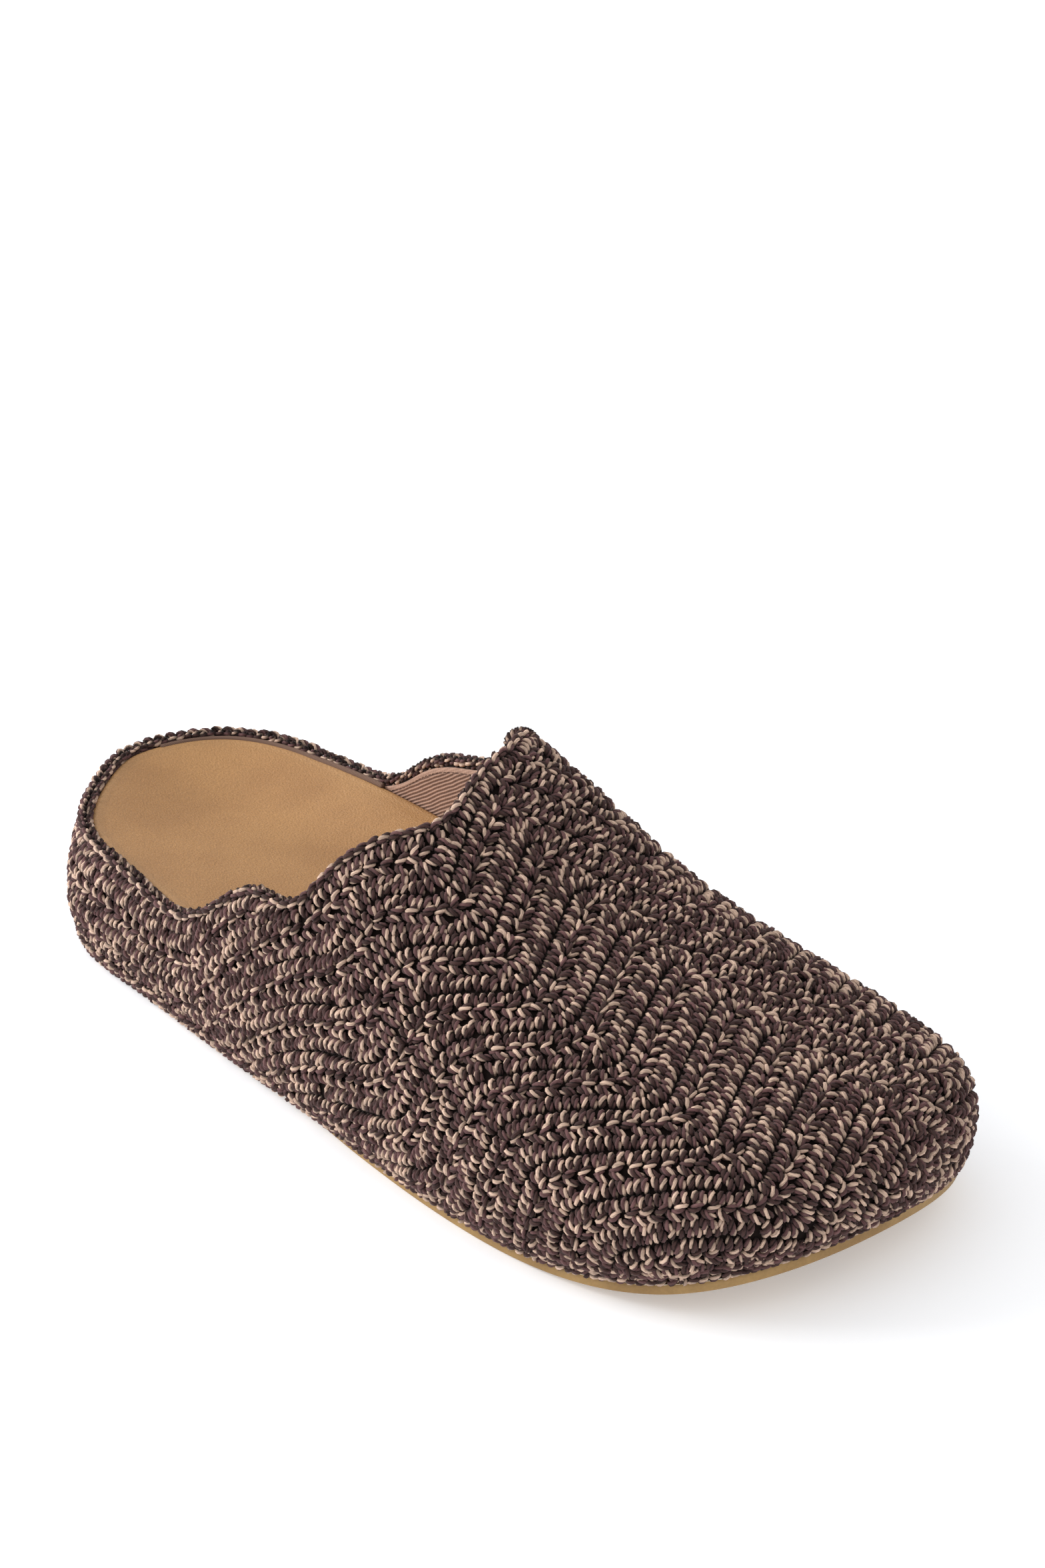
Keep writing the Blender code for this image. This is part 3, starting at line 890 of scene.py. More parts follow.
def gum_material():
    """Matt honey gum rubber, a little darker and dusty in places."""
    g = Graph("gum_rubber_sole")
    place = g.place()
    speck = g.noise(place, 1500.0)
    cloud = g.remap(g.noise(place, 60.0, 4.0, 0.6), 0.3, 0.7)
    colour = g.mix(cloud, linear(140, 108, 62), linear(164, 131, 80))
    colour = g.scaled(colour, g.remap(speck, 0.3, 0.7, 0.93, 1.05))
    g.bump(speck, 0.2, 0.0002)
    return g.surface(Base_Color=colour, Roughness=0.55, Specular_IOR_Level=0.4)


def glue_material():
    """Dried sole cement, pale and slightly glossy."""
    g = Graph("dried_glue")
    cloud = g.noise(g.place(), 500.0)
    g.bump(cloud, 0.4, 0.0003)
    return g.surface(Base_Color=g.mix(cloud, linear(196, 176, 140), linear(232, 226, 214)), Roughness=0.35,
                     Coat_Weight=0.3)


# Meshes

def corners_of(faces):
    """Point number at each corner, from arrays of faces that have as many corners within an array."""
    return np.concatenate([group.ravel() for group in faces])


def mesh_object(name, vertices, faces, material):
    """Smooth object from points in the last's millimetres and arrays of faces."""
    corners = corners_of(faces)
    sizes = np.concatenate([np.full(len(group), group.shape[1]) for group in faces])
    starts = np.concatenate(([0], np.cumsum(sizes)[:-1]))
    mesh = bpy.data.meshes.new(name)
    mesh.vertices.add(len(vertices))
    mesh.vertices.foreach_set("co", to_frame(vertices).astype(np.float32).ravel())
    mesh.loops.add(len(corners))
    mesh.loops.foreach_set("vertex_index", corners.astype(np.int32))
    mesh.polygons.add(len(sizes))
    mesh.polygons.foreach_set("loop_start", starts.astype(np.int32))
    mesh.update(calc_edges=True)
    mesh.shade_smooth()
    mesh.materials.append(material)
    piece = bpy.data.objects.new(name, mesh)
    bpy.context.scene.collection.objects.link(piece)
    return piece


def set_uv(piece, name, at_corners):
    layer = piece.data.uv_layers.new(name=name, do_init=False)
    layer.uv.foreach_set("vector", at_corners.astype(np.float32).ravel())


def weld(piece, distance):
    """Joins points that coincide, such as those of both sides on the ridge."""
    bm = bmesh.new()
    bm.from_mesh(piece.data)
    bmesh.ops.remove_doubles(bm, verts=bm.verts, dist=distance * MM)
    bmesh.ops.recalc_face_normals(bm, faces=bm.faces)
    bm.to_mesh(piece.data)
    bm.free()


def sheet_quads(numbers):
    """Quads of a sheet that closes in a ring, from the numbers of its points by column and row."""
    beside = np.roll(numbers, -1, axis=0)
    corners = (numbers[:, :-1], beside[:, :-1], beside[:, 1:], numbers[:, 1:])
    return np.stack(corners, -1).reshape(-1, 4)


def tube_quads(numbers):
    """Quads of tubes, from the numbers of their points by ring and by place in the ring."""
    beside = np.roll(numbers, -1, axis=-1)
    corners = (numbers[..., :-1, :], numbers[..., 1:, :], beside[..., 1:, :], beside[..., :-1, :])
    return np.stack(corners, -1).reshape(-1, 4)


def sheet_object(name, rings, material):
    """Closed sheet through rings of points that each go once round the shoe."""
    grid = np.stack(rings, axis=1)
    numbers = np.arange(grid.shape[0] * grid.shape[1]).reshape(grid.shape[:2])
    return mesh_object(name, grid.reshape(-1, 3), [sheet_quads(numbers)], material)


# Yarn

def arch(share):
    """Rise of a stitch between its ends at -1 and 1."""
    return np.cos(share * np.pi / 2) ** ARCH_POWER


def swell(share, at_ends=END_SWELL):
    """Thickness of the yarn between a stitch's ends."""
    return at_ends + (1 - at_ends) * np.cos(share * np.pi / 2) ** SWELL_POWER


class Stitches:
    """Short lengths of yarn, gathered by piece and then made into one mesh each."""

    def __init__(self):
        self.groups = {}

    def add(self, group, centres, ups, thickness):
        """Lines of points with the outward direction and the yarn's thickness at each point."""
        if len(centres):
            self.groups.setdefault((group, centres.shape[1]), []).append((centres, ups, thickness))

    def on_surface(self, group, place, direction, half, rings=CHAIN_RINGS, depth=AXIS_DEPTH,
                   end_depth=END_DEPTH, bend=0.0):
        """Stitches lying on the last, each from its middle along a direction, sunk at both ends."""
        count = len(place)
        if count == 0:
            return
        share = np.linspace(-1, 1, rings)
        centre = np.repeat(place[:, None], rings, axis=1)
        curve = (bend + rng.normal(0, BEND_SPREAD, count))[:, None, None] * share[None, :, None] / 2
        sideways = np.cross(chart.normal(place), direction)
        heading = direction[:, None] * np.cos(curve) + sideways[:, None] * np.sin(curve)
        path = chart.walk(centre, heading, half[:, None] * share[None])
        depth = depth + rng.normal(0, DEPTH_SPREAD, (count, 1))
        sink = end_depth - (end_depth - depth) * arch(share)[None]
        ups = chart.normal(path)
        thickness = swell(share)[None] * rng.normal(1, THICKNESS_SPREAD, (count, 1))
        self.add(group, chart.point(path) - sink[..., None] * ups, ups, thickness)

    def build(self, material):
        pieces = {}
        for key, runs in self.groups.items():
            pieces.setdefault(key[0], []).append([np.concatenate(parts) for parts in zip(*runs)])
        return [yarn_object(name, runs, material) for name, runs in pieces.items()]


def yarn_ring():
    """Angles and radii of the points round the plies."""
    ply_angle = 2 * np.pi / PLIES
    points = [((ply + share) * ply_angle, radius * YARN_RADIUS)
              for ply in range(PLIES) for share, radius in PLY_PROFILE]
    return np.array(points).T


def yarn_object(name, runs, material):
    """One mesh of many closed lengths of twisted yarn, with a map that gives each length a random tile."""
    vertices, faces, maps = [], [], []
    first = 0
    angles, radii = yarn_ring()
    around = len(angles)
    inner = 1 - 2 * TILE_MARGIN
    for centres, ups, thickness in runs:
        count, rings = centres.shape[:2]
        tangent = unit(np.gradient(centres, axis=1))
        across = unit(np.cross(tangent, ups))
        up = np.cross(across, tangent)
        phase = rng.uniform(0, 2 * np.pi, (count, 1)) - lengths_along(centres) * 2 * np.pi / YARN_LAY
        angle = (angles + phase[..., None])[..., None]
        radius = (radii * thickness[..., None])[..., None]
        ring = np.cos(angle) * across[:, :, None] + np.sin(angle) * up[:, :, None]
        vertices.append((centres[:, :, None] + radius * ring).reshape(-1, 3))
        tile = rng.integers(0, TILES, (count, 2))
        numbers = first + np.arange(count * rings * around).reshape(count, rings, around)
        first += numbers.size
        u, v = np.meshgrid(np.arange(rings) / (rings - 1), np.arange(around + 1) / around, indexing="ij")
        place = np.stack((u, v), -1) * inner + TILE_MARGIN
        place = np.stack((place[:-1, :-1], place[1:, :-1], place[1:, 1:], place[:-1, 1:]), -2)
        faces.append(tube_quads(numbers))
        maps.append((place + tile[:, None, None, None]).reshape(-1, 2))
        for cap, end in ((numbers[:, 0], 0.0), (numbers[:, -1, ::-1], 1.0)):
            round_cap = np.linspace(CAP_MARGIN, 1 - CAP_MARGIN, around)
            place = np.stack((np.full(around, end), round_cap), -1) * inner + TILE_MARGIN
            faces.append(cap)
            maps.append((place + tile[:, None]).reshape(-1, 2))
    piece = mesh_object(name, np.concatenate(vertices), faces, material)
    set_uv(piece, "OFBake", np.concatenate(maps) / TILES)
    return piece


# Crochet layout

class Edge:
    """The opening's edge, heel to throat on the outer side and back to the heel on the inner side."""

    def __init__(self):
        lateral, medial = (last_to_chart(side, *topline(side, EDGE_SAMPLES)[:2]) for side in SIDES)
        self.place = np.concatenate((lateral, medial[-2::-1]))
        self.points = chart.point(self.place)
        self.length = lengths_along(self.points)

    def samples(self, spacing):
        """Place, direction of travel and direction down the wall, at even spacing."""
        count = int(round(self.length[-1] / spacing))
        even = (np.arange(count) + 0.5) * self.length[-1] / count
        place = points_at(even, self.length, self.place)
        normal = chart.normal(place)
        ahead, behind = (points_at(even + step, self.length, self.points) for step in (1.0, -1.0))
        down = unit(np.cross(unit(ahead - behind), normal))
        return place, unit(np.cross(normal, down)), down

    def opening_holds(self, place):
        """Whether places of the chart lie inside the opening."""
        x, t = place[:, 0], place[:, 1]
        inside = np.zeros(len(place), bool)
        for (x0, t0), (x1, t1) in zip(self.place, np.roll(self.place, -1, axis=0)):
            crosses = (t0 > t) != (t1 > t)
            slope = (x1 - x0) / (t1 - t0) if t1 != t0 else 0.0
            inside ^= crosses & (x < x0 + (t - t0) * slope)
        return inside

    def distance(self, points):
        """Straight distance from points to the edge."""
        found = np.full(len(points), np.inf)
        for edge_point in self.points[::2]:
            found = np.minimum(found, np.linalg.norm(points - edge_point, axis=1))
        return found


edge = Edge()


def zigzag_x(row, t):
    """Chart x of a row's line at each t."""
    drift_x = ROW_PITCH * row
    corners = {name: corner + drift * drift_x for name, corner, drift, _ in ZIGZAG}
    slopes = [slope for *_, slope in ZIGZAG] + [LAST_SLOPE]
    bounds = [CHART_T[0] - LIMB_MARGIN, *corners.values(), CHART_T[1] + LIMB_MARGIN]
    x = np.full(np.shape(t), FIRST_VALLEY + drift_x)
    for low, high, slope in zip(bounds[:-1], bounds[1:], slopes):
        x = x + slope * (np.clip(t, low, high) - np.clip(corners["valley"], low, high))
    return x


def lane_place(row, t):
    """Chart places of a row's line with its corners eased."""
    x = np.mean([zigzag_x(row, t + ease) for ease in CORNER_EASE], axis=0)
    return np.stack((x, t), -1)


def row_frame(row, t):
    """Direction of a row's line, direction to the toe across it and the distance to the next row."""
    ahead, behind = (chart.point(lane_place(row, t + step)) for step in (ALONG_STEP, -ALONG_STEP))
    along = unit(ahead - behind)
    toeward = unit(np.cross(along, chart.normal(lane_place(row, t))))
    above, below = (chart.point(lane_place(row + step, t)) for step in (ROW_STEP, -ROW_STEP))
    pitch = ((above - below) * toeward).sum(-1) / (2 * ROW_STEP)
    return along, toeward * np.sign(pitch)[:, None], np.abs(pitch)


def lane(row, spacing, distance, room_share=0.0):
    """Places at even spacing along a lane of a row, with the row's directions and pitch there.

    The lane lies at a distance from the row's line, to which a share of the room is added.
    """
    t = np.arange(CHART_T[0] + LANE_MARGIN, CHART_T[1] - LANE_MARGIN, LANE_STEP)
    pitch = np.maximum(row_frame(row + 0.5, t)[2], LEAST_PITCH)
    distance = distance + room_share * np.maximum(pitch - ROOM_START, 0)
    shift = np.clip(distance / pitch, 0.0, 1.0)
    length = lengths_along(chart.point(lane_place(row + shift, t)))
    even = np.arange(rng.uniform(0, spacing), length[-1], spacing)
    even = even + rng.normal(0, PLACE_SPREAD * spacing, len(even))
    shift = np.interp(even, length, shift)
    t = np.interp(even, length, t)
    return (lane_place(row + shift, t), *row_frame(row + shift, t))


def on_vamp(place):
    """Whether stitches at these places belong to the zigzag field."""
    keep = (chart.turn(place) > LOWEST_STITCH) & (place[:, 0] > HEEL_X) & ~edge.opening_holds(place)
    return keep & (edge.distance(chart.point(place)) > EDGE_BAND)


def place_by_group(stitches, place, direction, half, **options):
    """Adds stitches to the piece of their part of the upper."""
    names = np.array(["vamp_outer", "vamp_inner", "toe_outer", "toe_inner"])
    groups = names[(place[:, 1] > 0) * 1 + (place[:, 0] > TOE_X) * 2]
    for name in np.unique(groups):
        chosen = groups == name
        stitches.on_surface("stitches_" + name, place[chosen], direction[chosen], half[chosen], **options)


def turned(direction, across, angle):
    """Directions turned towards others that lie across them."""
    return direction * np.cos(angle)[:, None] + across * np.sin(angle)[:, None]


def turned_flat(direction, place, angle):
    """Directions turned about the last's outward normal."""
    return turned(direction, np.cross(chart.normal(place), direction), angle)


def zigzag_field(stitches):
    """Rows of legs and slanted chains in zigzags over vamp and toe."""
    for row in range(*ROWS):
        for start, start_share, end, end_share, least, most in LEG_LANES:
            middle = (start + end) / 2
            place, _, toeward, pitch = lane(row, LEG_SPACING, middle, (start_share + end_share) / 2)
            room = pitch - ROOM_START
            keep = on_vamp(place) & (room >= least) & (room < most)
            place, toeward, room = place[keep], toeward[keep], room[keep]
            half = (end - start + (end_share - start_share) * np.maximum(room, 0)) / 2
            half = np.clip(half, *LEG_HALVES) * rng.normal(1, LEG_SPREAD, len(place))
            heading = turned_flat(toeward, place, rng.normal(LEG_LEAN, SLANT_SPREAD, len(place)))
            place_by_group(stitches, place, heading, half, rings=LEG_RINGS)
        for distance, slant, bend in CHAIN_LANES:
            place, along, toeward, _ = lane(row, CHAIN_SPACING, distance)
            keep = on_vamp(place)
            place, along, toeward = place[keep], along[keep], toeward[keep]
            heading = turned(along, toeward, slant + rng.normal(0, SLANT_SPREAD, len(place)))
            half = CHAIN_HALF * rng.normal(1, CHAIN_SPREAD, len(place))
            place_by_group(stitches, place, heading, half, depth=CHAIN_DEPTH, bend=bend)


def heel_rows(stitches):
    """Rows round the heel, even with the rim, from the edge band down to the sole."""
    place, _, down = edge.samples(HEEL_STEP)
    for kind, drop, half, lean in HEEL_ROWS:
        line = chart.walk(place, down, drop, HEEL_WALK)
        points = chart.point(line)
        length = lengths_along(points)
        spacing = LEG_SPACING if kind == "leg" else CHAIN_SPACING
        whole = length[-1] + 2 * HEEL_SEAM
        count = int(round(whole / spacing))
        even = (np.arange(count) + 0.5) * whole / count - HEEL_SEAM
        even = even + rng.normal(0, PLACE_SPREAD * spacing, count)
        there = points_at(even, length, line)
        travel = unit(points_at(even + 1, length, points) - chart.point(there))
        keep = (there[:, 0] < HEEL_X + HEEL_OVERLAP) & (chart.turn(there) > LOWEST_STITCH)
        there, travel = there[keep], travel[keep]
        base = unit(np.cross(travel, chart.normal(there))) if kind == "leg" else travel
        heading = turned_flat(base, there, lean + rng.normal(0, HEEL_LEAN_SPREAD, len(there)))
        stitches.on_surface("stitches_heel", there, heading, half * rng.normal(1, LEG_SPREAD, len(there)))


def edging(stitches):
    """Slanted chain on the edge itself, the small legs below it, and leaning legs inside the wall."""
    for kind, drop, depth, end_depth, lean, half, spacing in EDGE_ROWS:
        place, travel, down = edge.samples(spacing)
        there = chart.walk(place, down, drop)
        base = down if kind == "leg" else travel
        heading = turned_flat(base, there, lean + rng.normal(0, EDGE_LEAN_SPREAD, len(there)))
        halves = half * rng.normal(1, EDGE_LENGTH_SPREAD, len(there))
        stitches.on_surface("stitches_edge", there, heading, halves, depth=depth, end_depth=end_depth)


def throat_lobe(stitches):
    """Small fan of stitches that stands up at the throat's tip."""
    angle = np.linspace(0, np.pi, LOBE_STITCHES)[:, None, None]
    share = np.linspace(-1, 1, CHAIN_RINGS)
    reach = LOBE_RADIUS + LOBE_HALF * share[None, :, None]
    centres = np.array(LOBE_CENTRE) + reach * (np.cos(angle) * LOBE_ACROSS + np.sin(angle) * UP)
    centres = centres - LOBE_FACING * (LOBE_DIVE * (1 - arch(share)))[None, :, None]
    thickness = np.repeat(swell(share, LOBE_END_SWELL)[None], LOBE_STITCHES, axis=0)
    stitches.add("stitches_edge", centres, np.broadcast_to(LOBE_FACING, centres.shape), thickness)


def sole_rows(stitches):
    """Chains along the wall's lower edge, low round the heel, where they hide the sole."""
    taus = np.linspace(*SOLE_ROW_TAUS)
    share = np.linspace(-1, 1, CHAIN_RINGS)
    for inset, rise in SOLE_ROWS:
        halves = []
        for side in SIDES:
            x, y = inset_edge(taus, side, inset)
            z = np.interp(x, *zip(*SOLE_ROW_HEIGHTS)) + rise + toe_lift(x / LENGTH)
            halves.append(np.stack((x, y, z), -1))
        line = np.concatenate((halves[0], halves[1][::-1], halves[0][:1]))
        length = lengths_along(line)
        middle = np.arange(0, length[-1], SOLE_ROW_SPACING)
        count = len(middle)
        middle = middle + rng.normal(0, SOLE_ROW_SPREAD, count)
        half = SOLE_ROW_HALF * rng.normal(1, CHAIN_SPREAD, count)[:, None]
        lean = rng.normal(*SOLE_ROW_LEAN, count)[:, None]
        along = (middle[:, None] + share[None] * half * np.cos(lean)) % length[-1]
        centres = points_at(along, length, line)
        ahead = points_at((along + 1) % length[-1], length, line)
        outward = unit(np.cross(ahead - centres, UP))
        centres[..., 2] += share[None] * half * np.sin(lean) * SOLE_ROW_CLIMB
        centres -= outward * (SOLE_ROW_DIVE * (1 - arch(share)))[None, :, None]
        stitches.add("stitches_edge", centres, outward, np.repeat(swell(share)[None], count, axis=0))


# Shell, lining, piping and glue

def wall_columns(drop):
    """Side, tau and turn of columns once round the upper, ending a little below the opening's edge."""
    halves = []
    share = np.linspace(0, 1, COLUMN_SAMPLES)
    for side in SIDES:
        half = []
        columns = [*zip(*topline(side, COLUMNS_RIM)), *zip(*vamp(side, COLUMNS_VAMP))]
        for number, column in enumerate(columns):
            tau, turn = wall_path(share, *column)
            length = lengths_along(last_point(tau, side, turn))
            fade = np.clip((COLUMNS_RIM - 1 - number) / DROP_FADE, 0, 1)
            even = np.linspace(0, length[-1] - drop * fade, WALL_POINTS)
            tau, turn = (np.interp(even, length, values) for values in (tau, turn))
            half.append((np.full(WALL_POINTS, side), tau, turn))
        halves.append(half)
    return np.array(halves[0] + halves[1][-2:0:-1]).transpose(1, 0, 2)


def shell_object(name, drop, depths, material):
    """Closed sheet between two depths below the last, open at the collar and underneath."""
    side, tau, turn = wall_columns(drop)
    points = last_point(tau, side, turn)
    normals = last_normal(tau, side, turn)
    vertices = np.stack([points - depth * normals for depth in depths])
    outside, inside = np.arange(2 * tau.size).reshape(2, *tau.shape)
    foot, top = (sheet_quads(np.stack((outside[:, row], inside[:, row]), -1)) for row in (0, -1))
    faces = [sheet_quads(outside), sheet_quads(inside)[:, ::-1], foot[:, ::-1], top]
    piece = mesh_object(name, vertices.reshape(-1, 3), faces, material)
    from_edge = np.linalg.norm(points - points[:, -1:], axis=2)
    along_edge = np.repeat(lengths_along(points[:, -1])[:, None], WALL_POINTS, axis=1)
    places = corners_of(faces) % tau.size
    for label, u, v in (("cloth", points[..., 0], -points[..., 2]), ("hem", along_edge, from_edge)):
        set_uv(piece, label, np.stack((u, v), -1).reshape(-1, 2)[places])
    weld(piece, SHELL_WELD)
    return piece


def cord(name, points, radii, material, sides):
    """Round cord through points, closed at both ends."""
    count = len(points)
    tangent = unit(np.gradient(points, axis=0))
    across = unit(np.cross(tangent, UP))
    up = np.cross(across, tangent)
    angle = np.arange(sides) * 2 * np.pi / sides
    ring = np.cos(angle)[None, :, None] * across[:, None] + np.sin(angle)[None, :, None] * up[:, None]
    vertices = points[:, None] + np.broadcast_to(radii, count)[:, None, None] * ring
    numbers = np.arange(count * sides).reshape(count, sides)
    faces = [tube_quads(numbers), numbers[:1], numbers[-1:, ::-1]]
    piece = mesh_object(name, vertices.reshape(-1, 3), faces, material)
    place = np.stack(np.meshgrid(lengths_along(points), angle, indexing="ij"), -1).reshape(-1, 2)
    set_uv(piece, "cloth", place[corners_of(faces)])
    return piece


def make_piping(material):
    """Cord on the footbed's edge, round the back of the heel and along the inner side to the lining."""
    tau = tau_of(np.linspace(*PIPING_ENDS, PIPING_POINTS))
    side = np.full(len(tau), MEDIAL)
    turn = turn_at_height(tau, side, footbed_height("medial_edge", station_of(tau)) + PIPING_RISE)
    points = last_point(tau, side, turn) - PIPING_INSET * last_normal(tau, side, turn)
    return cord("footbed_piping", points, PIPING_RADIUS, material, PIPING_SIDES)


def make_glue(material):
    """Thin uneven bead between gum and yarn from the waist round the toe."""
    taus = tau_of(np.linspace(GLUE_START, 1.0, GLUE_POINTS))
    halves = []
    for side in SIDES:
        x, y = inset_edge(taus, side, SOLE_INSET - GLUE_SINK)
        halves.append(np.column_stack((x, y, SOLE_THICKNESS - GLUE_SINK + toe_lift(x / LENGTH))))
    line = np.concatenate((halves[0], halves[1][-2::-1]))
    length = lengths_along(line)
    even = np.arange(0, length[-1], GLUE_STEP)
    knots = np.arange(0, length[-1] + GLUE_PATCH, GLUE_PATCH)
    patches = np.interp(even, knots, rng.random(len(knots)))
    lump = np.clip(rng.normal(*GLUE_LUMPS, len(even)) * patches * GLUE_GAIN, 0, 1)
    thin, thick = GLUE_RADII
    radii = thin + (thick - thin) * lump
    return cord("sole_cement", points_at(even, length, line), radii, material, GLUE_SIDES)


# Footbed and outsole

def around_the_foot():
    """Sides and taus of columns once round the shoe: heel, outer side, toe, inner side."""
    taus = np.linspace(0, 1, SOLE_COLUMNS + 1)
    sides = np.concatenate((np.full(SOLE_COLUMNS + 1, LATERAL), np.full(SOLE_COLUMNS - 1, MEDIAL)))
    return sides, np.concatenate((taus, taus[-2:0:-1]))


def make_footbed(material):
    """Leather over foam: upright side, rolled lip and the dish for the foot."""
    side, tau = around_the_foot()
    edges = [footbed_height(name, station_of(tau)) for name in ("lateral_edge", "medial_edge")]
    edge_z = np.where(side == LATERAL, *edges) + sole_lift(tau, side)
    top_turn = turn_at_height(tau, side, edge_z - LIP_ROUND)
    middle = np.stack(ridge_line(tau)[:2], -1)
    station = middle[:, 0] / LENGTH
    middle_z = footbed_height("middle", station) + toe_lift(station)
    floor = SOLE_THICKNESS + GAP
    foot = inset_edge(tau, side, FOOTBED_FOOT_INSET).T
    rings, lip = [], []

    # Each ring also carries the strength of the painted highlight that lightens the rolled lip.
    def ring(plan, height, lip_highlight):
        rings.append(np.column_stack((plan, height)))
        lip.append(lip_highlight)

    for share, rise in ((0.0, 0.0), (0.5, 0.0), (1.0, 0.0), (1.0, FOOTBED_FOOT_RISE)):
        plan = middle + (foot - middle) * share
        ring(plan, floor + rise + toe_lift(plan[:, 0] / LENGTH), 0.0)
    for share in np.linspace(0, 1, SIDE_ROWS):
        turn = FOOTBED_SIDE_START + (top_turn - FOOTBED_SIDE_START) * share
        points = last_point(tau, side, turn) - (WALL + FOOTBED_GAP) * last_normal(tau, side, turn)
        ring(points[:, :2], points[:, 2], 1.0)
    wall_edge = points[:, :2]
    reach = np.linalg.norm(middle - wall_edge, axis=1)
    inward = (middle - wall_edge) / reach[:, None]
    for angle in np.linspace(1 / LIP_ROWS, 1.0, LIP_ROWS) * np.pi / 2:
        plan = wall_edge + inward * (LIP_ROUND * (1 - np.cos(angle)))
        ring(plan, edge_z - LIP_ROUND * (1 - np.sin(angle)), 1.0)
    for distance in LIP_RINGS:
        fall = LIP_FALL * smooth((distance - LIP_ROUND) / (LIP_WIDTH - LIP_ROUND))
        ring(wall_edge + inward * distance, edge_z - fall, 1.0 - LIP_HIGHLIGHT_FALLOFF * (distance - LIP_ROUND))
    for share in np.linspace(0, 1, DISH_RINGS + 1)[1:]:
        distance = LIP_WIDTH + (reach - LIP_WIDTH) * share
        sunk = DISH_BOWL * (1 - (1 - share) ** 2) + (1 - DISH_BOWL) * smooth(share)
        height = edge_z - LIP_FALL + (middle_z - edge_z + LIP_FALL) * sunk
        ring(wall_edge + inward * distance[:, None], height, max(0.0, LIP_HIGHLIGHT_REACH - share))
    piece = sheet_object("footbed_leather", rings, material)
    # The lip attribute carries the painted highlight's strength to the leather's material.
    attribute = piece.data.attributes.new("lip", "FLOAT", "POINT")
    attribute.data.foreach_set("value", np.tile(np.array(lip, np.float32), len(tau)))
    weld(piece, SOLE_WELD)
    return piece


def make_outsole(material):
    """Gum sheet with a rounded lower edge and shallow contour grooves underneath."""
    side, tau = around_the_foot()
    middle = np.stack(ridge_line(tau)[:2], -1)
    edge_plan = inset_edge(tau, side, SOLE_INSET).T
    reach = np.linalg.norm(edge_plan - middle, axis=1)
    inward = (middle - edge_plan) / reach[:, None]
    rings = []

    def ring(distance, height, under):
        plan = edge_plan + inward * np.minimum(distance, reach)[:, None]
        station = plan[:, 0] / LENGTH
        lift = toe_lift(station) + (arch_lift(station) if under else 0.0)
        rings.append(np.column_stack((plan, height + lift)))

    ring(reach, 0.0, True)
    for number in range(GROOVES, 0, -1):
        limit = reach * (GROOVE_LIMIT - GROOVE_STEP * (GROOVES - number))
        for distance, height in GROOVE_PROFILE:
            ring(np.minimum(number * GROOVE_PITCH + distance, limit), height, True)
    for angle in np.linspace(0, 1, SOLE_ROUND_ROWS) * np.pi / 2:
        ring(SOLE_EDGE_ROUND * (1 - np.sin(angle)), SOLE_EDGE_ROUND * (1 - np.cos(angle)), True)
    ring(0.0, SOLE_THICKNESS * SOLE_EDGE_MIDDLE, False)
    ring(0.0, SOLE_THICKNESS - SOLE_TOP_ROUND, False)
    for distance in (SOLE_TOP_ROUND, reach / 2, reach):
        ring(distance, SOLE_THICKNESS, False)
    piece = sheet_object("outsole_gum", rings, material)
    weld(piece, SOLE_WELD)
    piece.data.set_sharp_from_angle(angle=math.radians(SHARP_ANGLE))
    return piece


# Stage

def look_at(thing, target):
    """Turns a camera or lamp to a point, level with the floor."""
    heading = Vector(target) - thing.location
    thing.rotation_euler = heading.to_track_quat("-Z", "Y").to_euler()


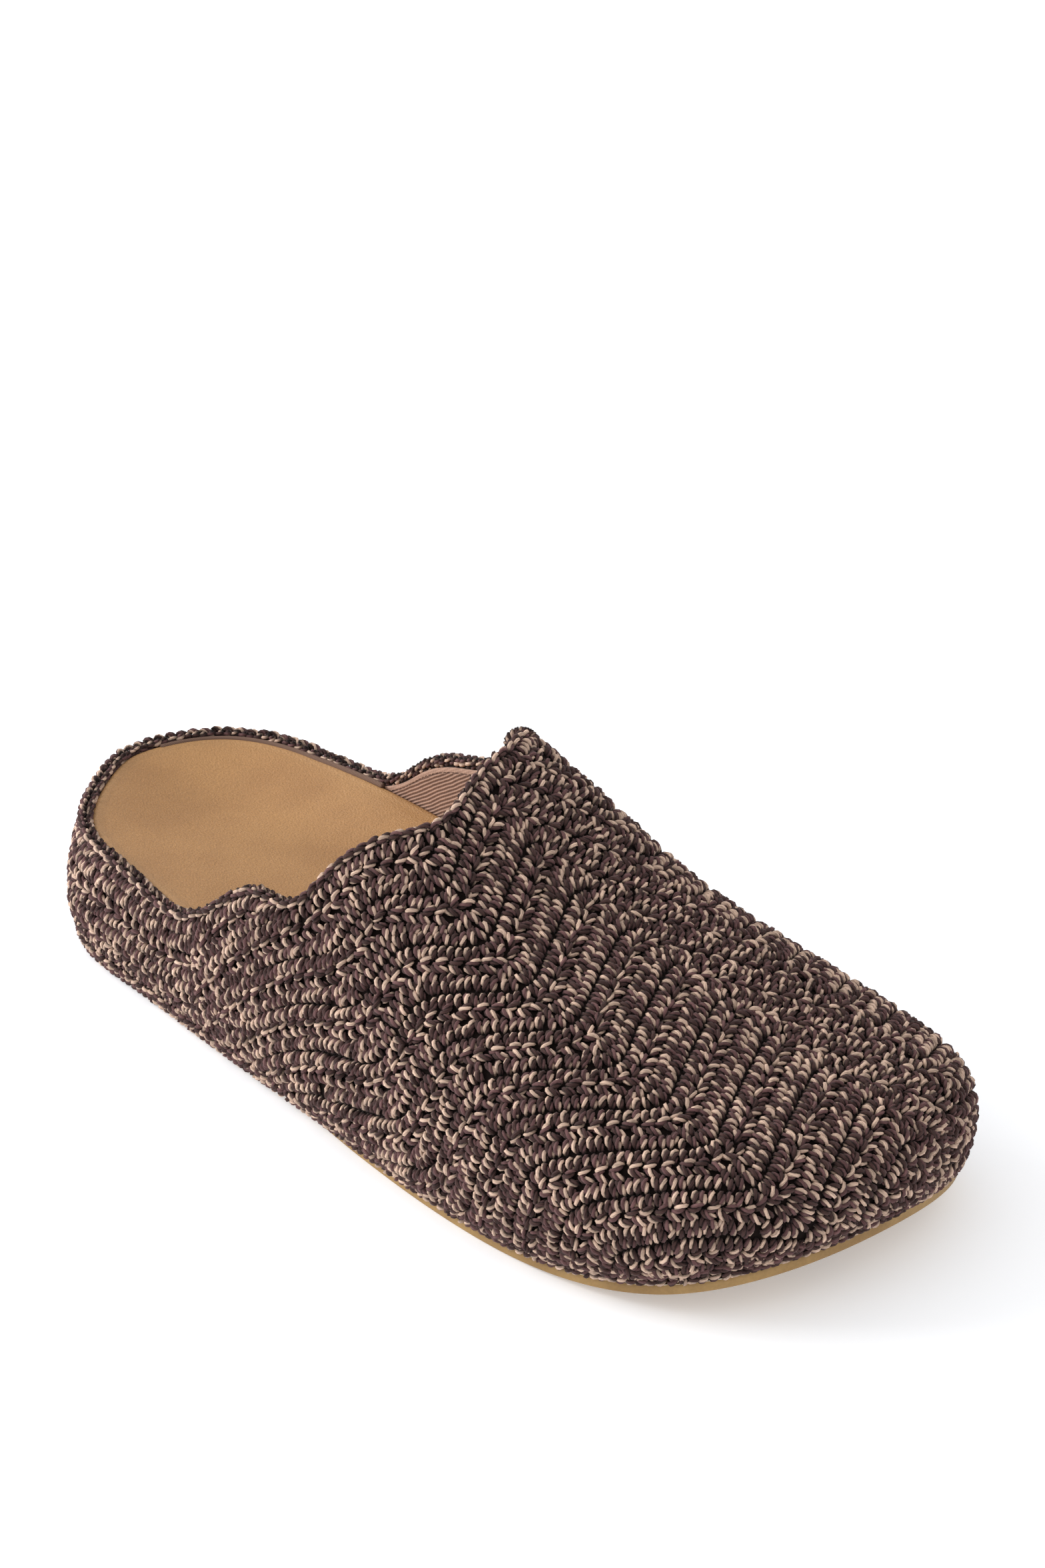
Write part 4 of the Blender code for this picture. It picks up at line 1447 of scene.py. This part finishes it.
def make_stage():
    """White floor, a white room and one square soft box that faces the shoe."""
    bpy.ops.mesh.primitive_plane_add(size=FLOOR_SIZE, location=(0.0, 0.0, 0.0))
    floor = bpy.context.object
    floor.name = "floor"
    g = Graph("white_floor")
    floor.data.materials.append(g.surface(Base_Color=FLOOR_WHITE, Roughness=0.9, Specular_IOR_Level=0.1,
                                          Emission_Color=FLOOR_WHITE, Emission_Strength=FLOOR_GLOW))
    scene = bpy.context.scene
    scene.world = bpy.data.worlds.new("studio")
    scene.world.use_nodes = True
    background = scene.world.node_tree.nodes["Background"]
    background.inputs["Color"].default_value = (1.0, 1.0, 1.0, 1.0)
    background.inputs["Strength"].default_value = WORLD_LIGHT
    light = bpy.data.lights.new("key", "AREA")
    light.size = KEY_SIZE
    light.energy = KEY_POWER
    lamp = bpy.data.objects.new("key", light)
    lamp.location = KEY_PLACE
    look_at(lamp, KEY_TARGET)
    scene.collection.objects.link(lamp)
    scene.view_settings.view_transform = "Standard"


def make_camera():
    """Camera of the photo: its angle, lens and off-centre frame."""
    azimuth = math.radians(CAMERA_AZIMUTH)
    elevation = math.radians(CAMERA_ELEVATION)
    direction = np.array((math.sin(azimuth) * math.cos(elevation),
                          -math.cos(azimuth) * math.cos(elevation), math.sin(elevation)))
    target = to_frame(CAMERA_TARGET)
    data = bpy.data.cameras.new("camera")
    data.sensor_width = SENSOR
    data.sensor_height = SENSOR
    data.lens = FOCAL_PIXELS * SENSOR / PHOTO_HEIGHT
    data.shift_x = (PHOTO_WIDTH / 2 - CENTRE_PIXEL[0]) / PHOTO_HEIGHT
    data.shift_y = (CENTRE_PIXEL[1] - PHOTO_HEIGHT / 2) / PHOTO_HEIGHT
    camera = bpy.data.objects.new("camera", data)
    camera.location = target + direction * CAMERA_DISTANCE * MM
    look_at(camera, target)
    bpy.context.scene.collection.objects.link(camera)
    bpy.context.scene.camera = camera


def attach(piece, replaced=None):
    """Fixes a piece to the one body, in place of a solid where it has the solid's form."""
    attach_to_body(piece, "root")
    if replaced:
        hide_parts(replaced)


def main():
    make_camera()
    make_stage()
    stitches = Stitches()
    for work in (zigzag_field, heel_rows, edging, sole_rows, throat_lobe):
        work(stitches)
    for piece in stitches.build(yarn_material()):
        attach(piece)
    # The backing's near-black colour is painted shade for the gaps between the stitches.
    shell = shell_object("crochet_shell", SHELL_DROP, SHELL_DEPTHS, painted_shade_backing_material())
    attach(shell, "upper")
    lining = shell_object("twill_lining", LINING_DROP, LINING_DEPTHS, lining_material())
    attach(lining)
    attach(make_piping(piping_material()))
    attach(make_glue(glue_material()))
    attach(make_footbed(leather_material()), "footbed")
    attach(make_outsole(gum_material()), "outsole")


main()
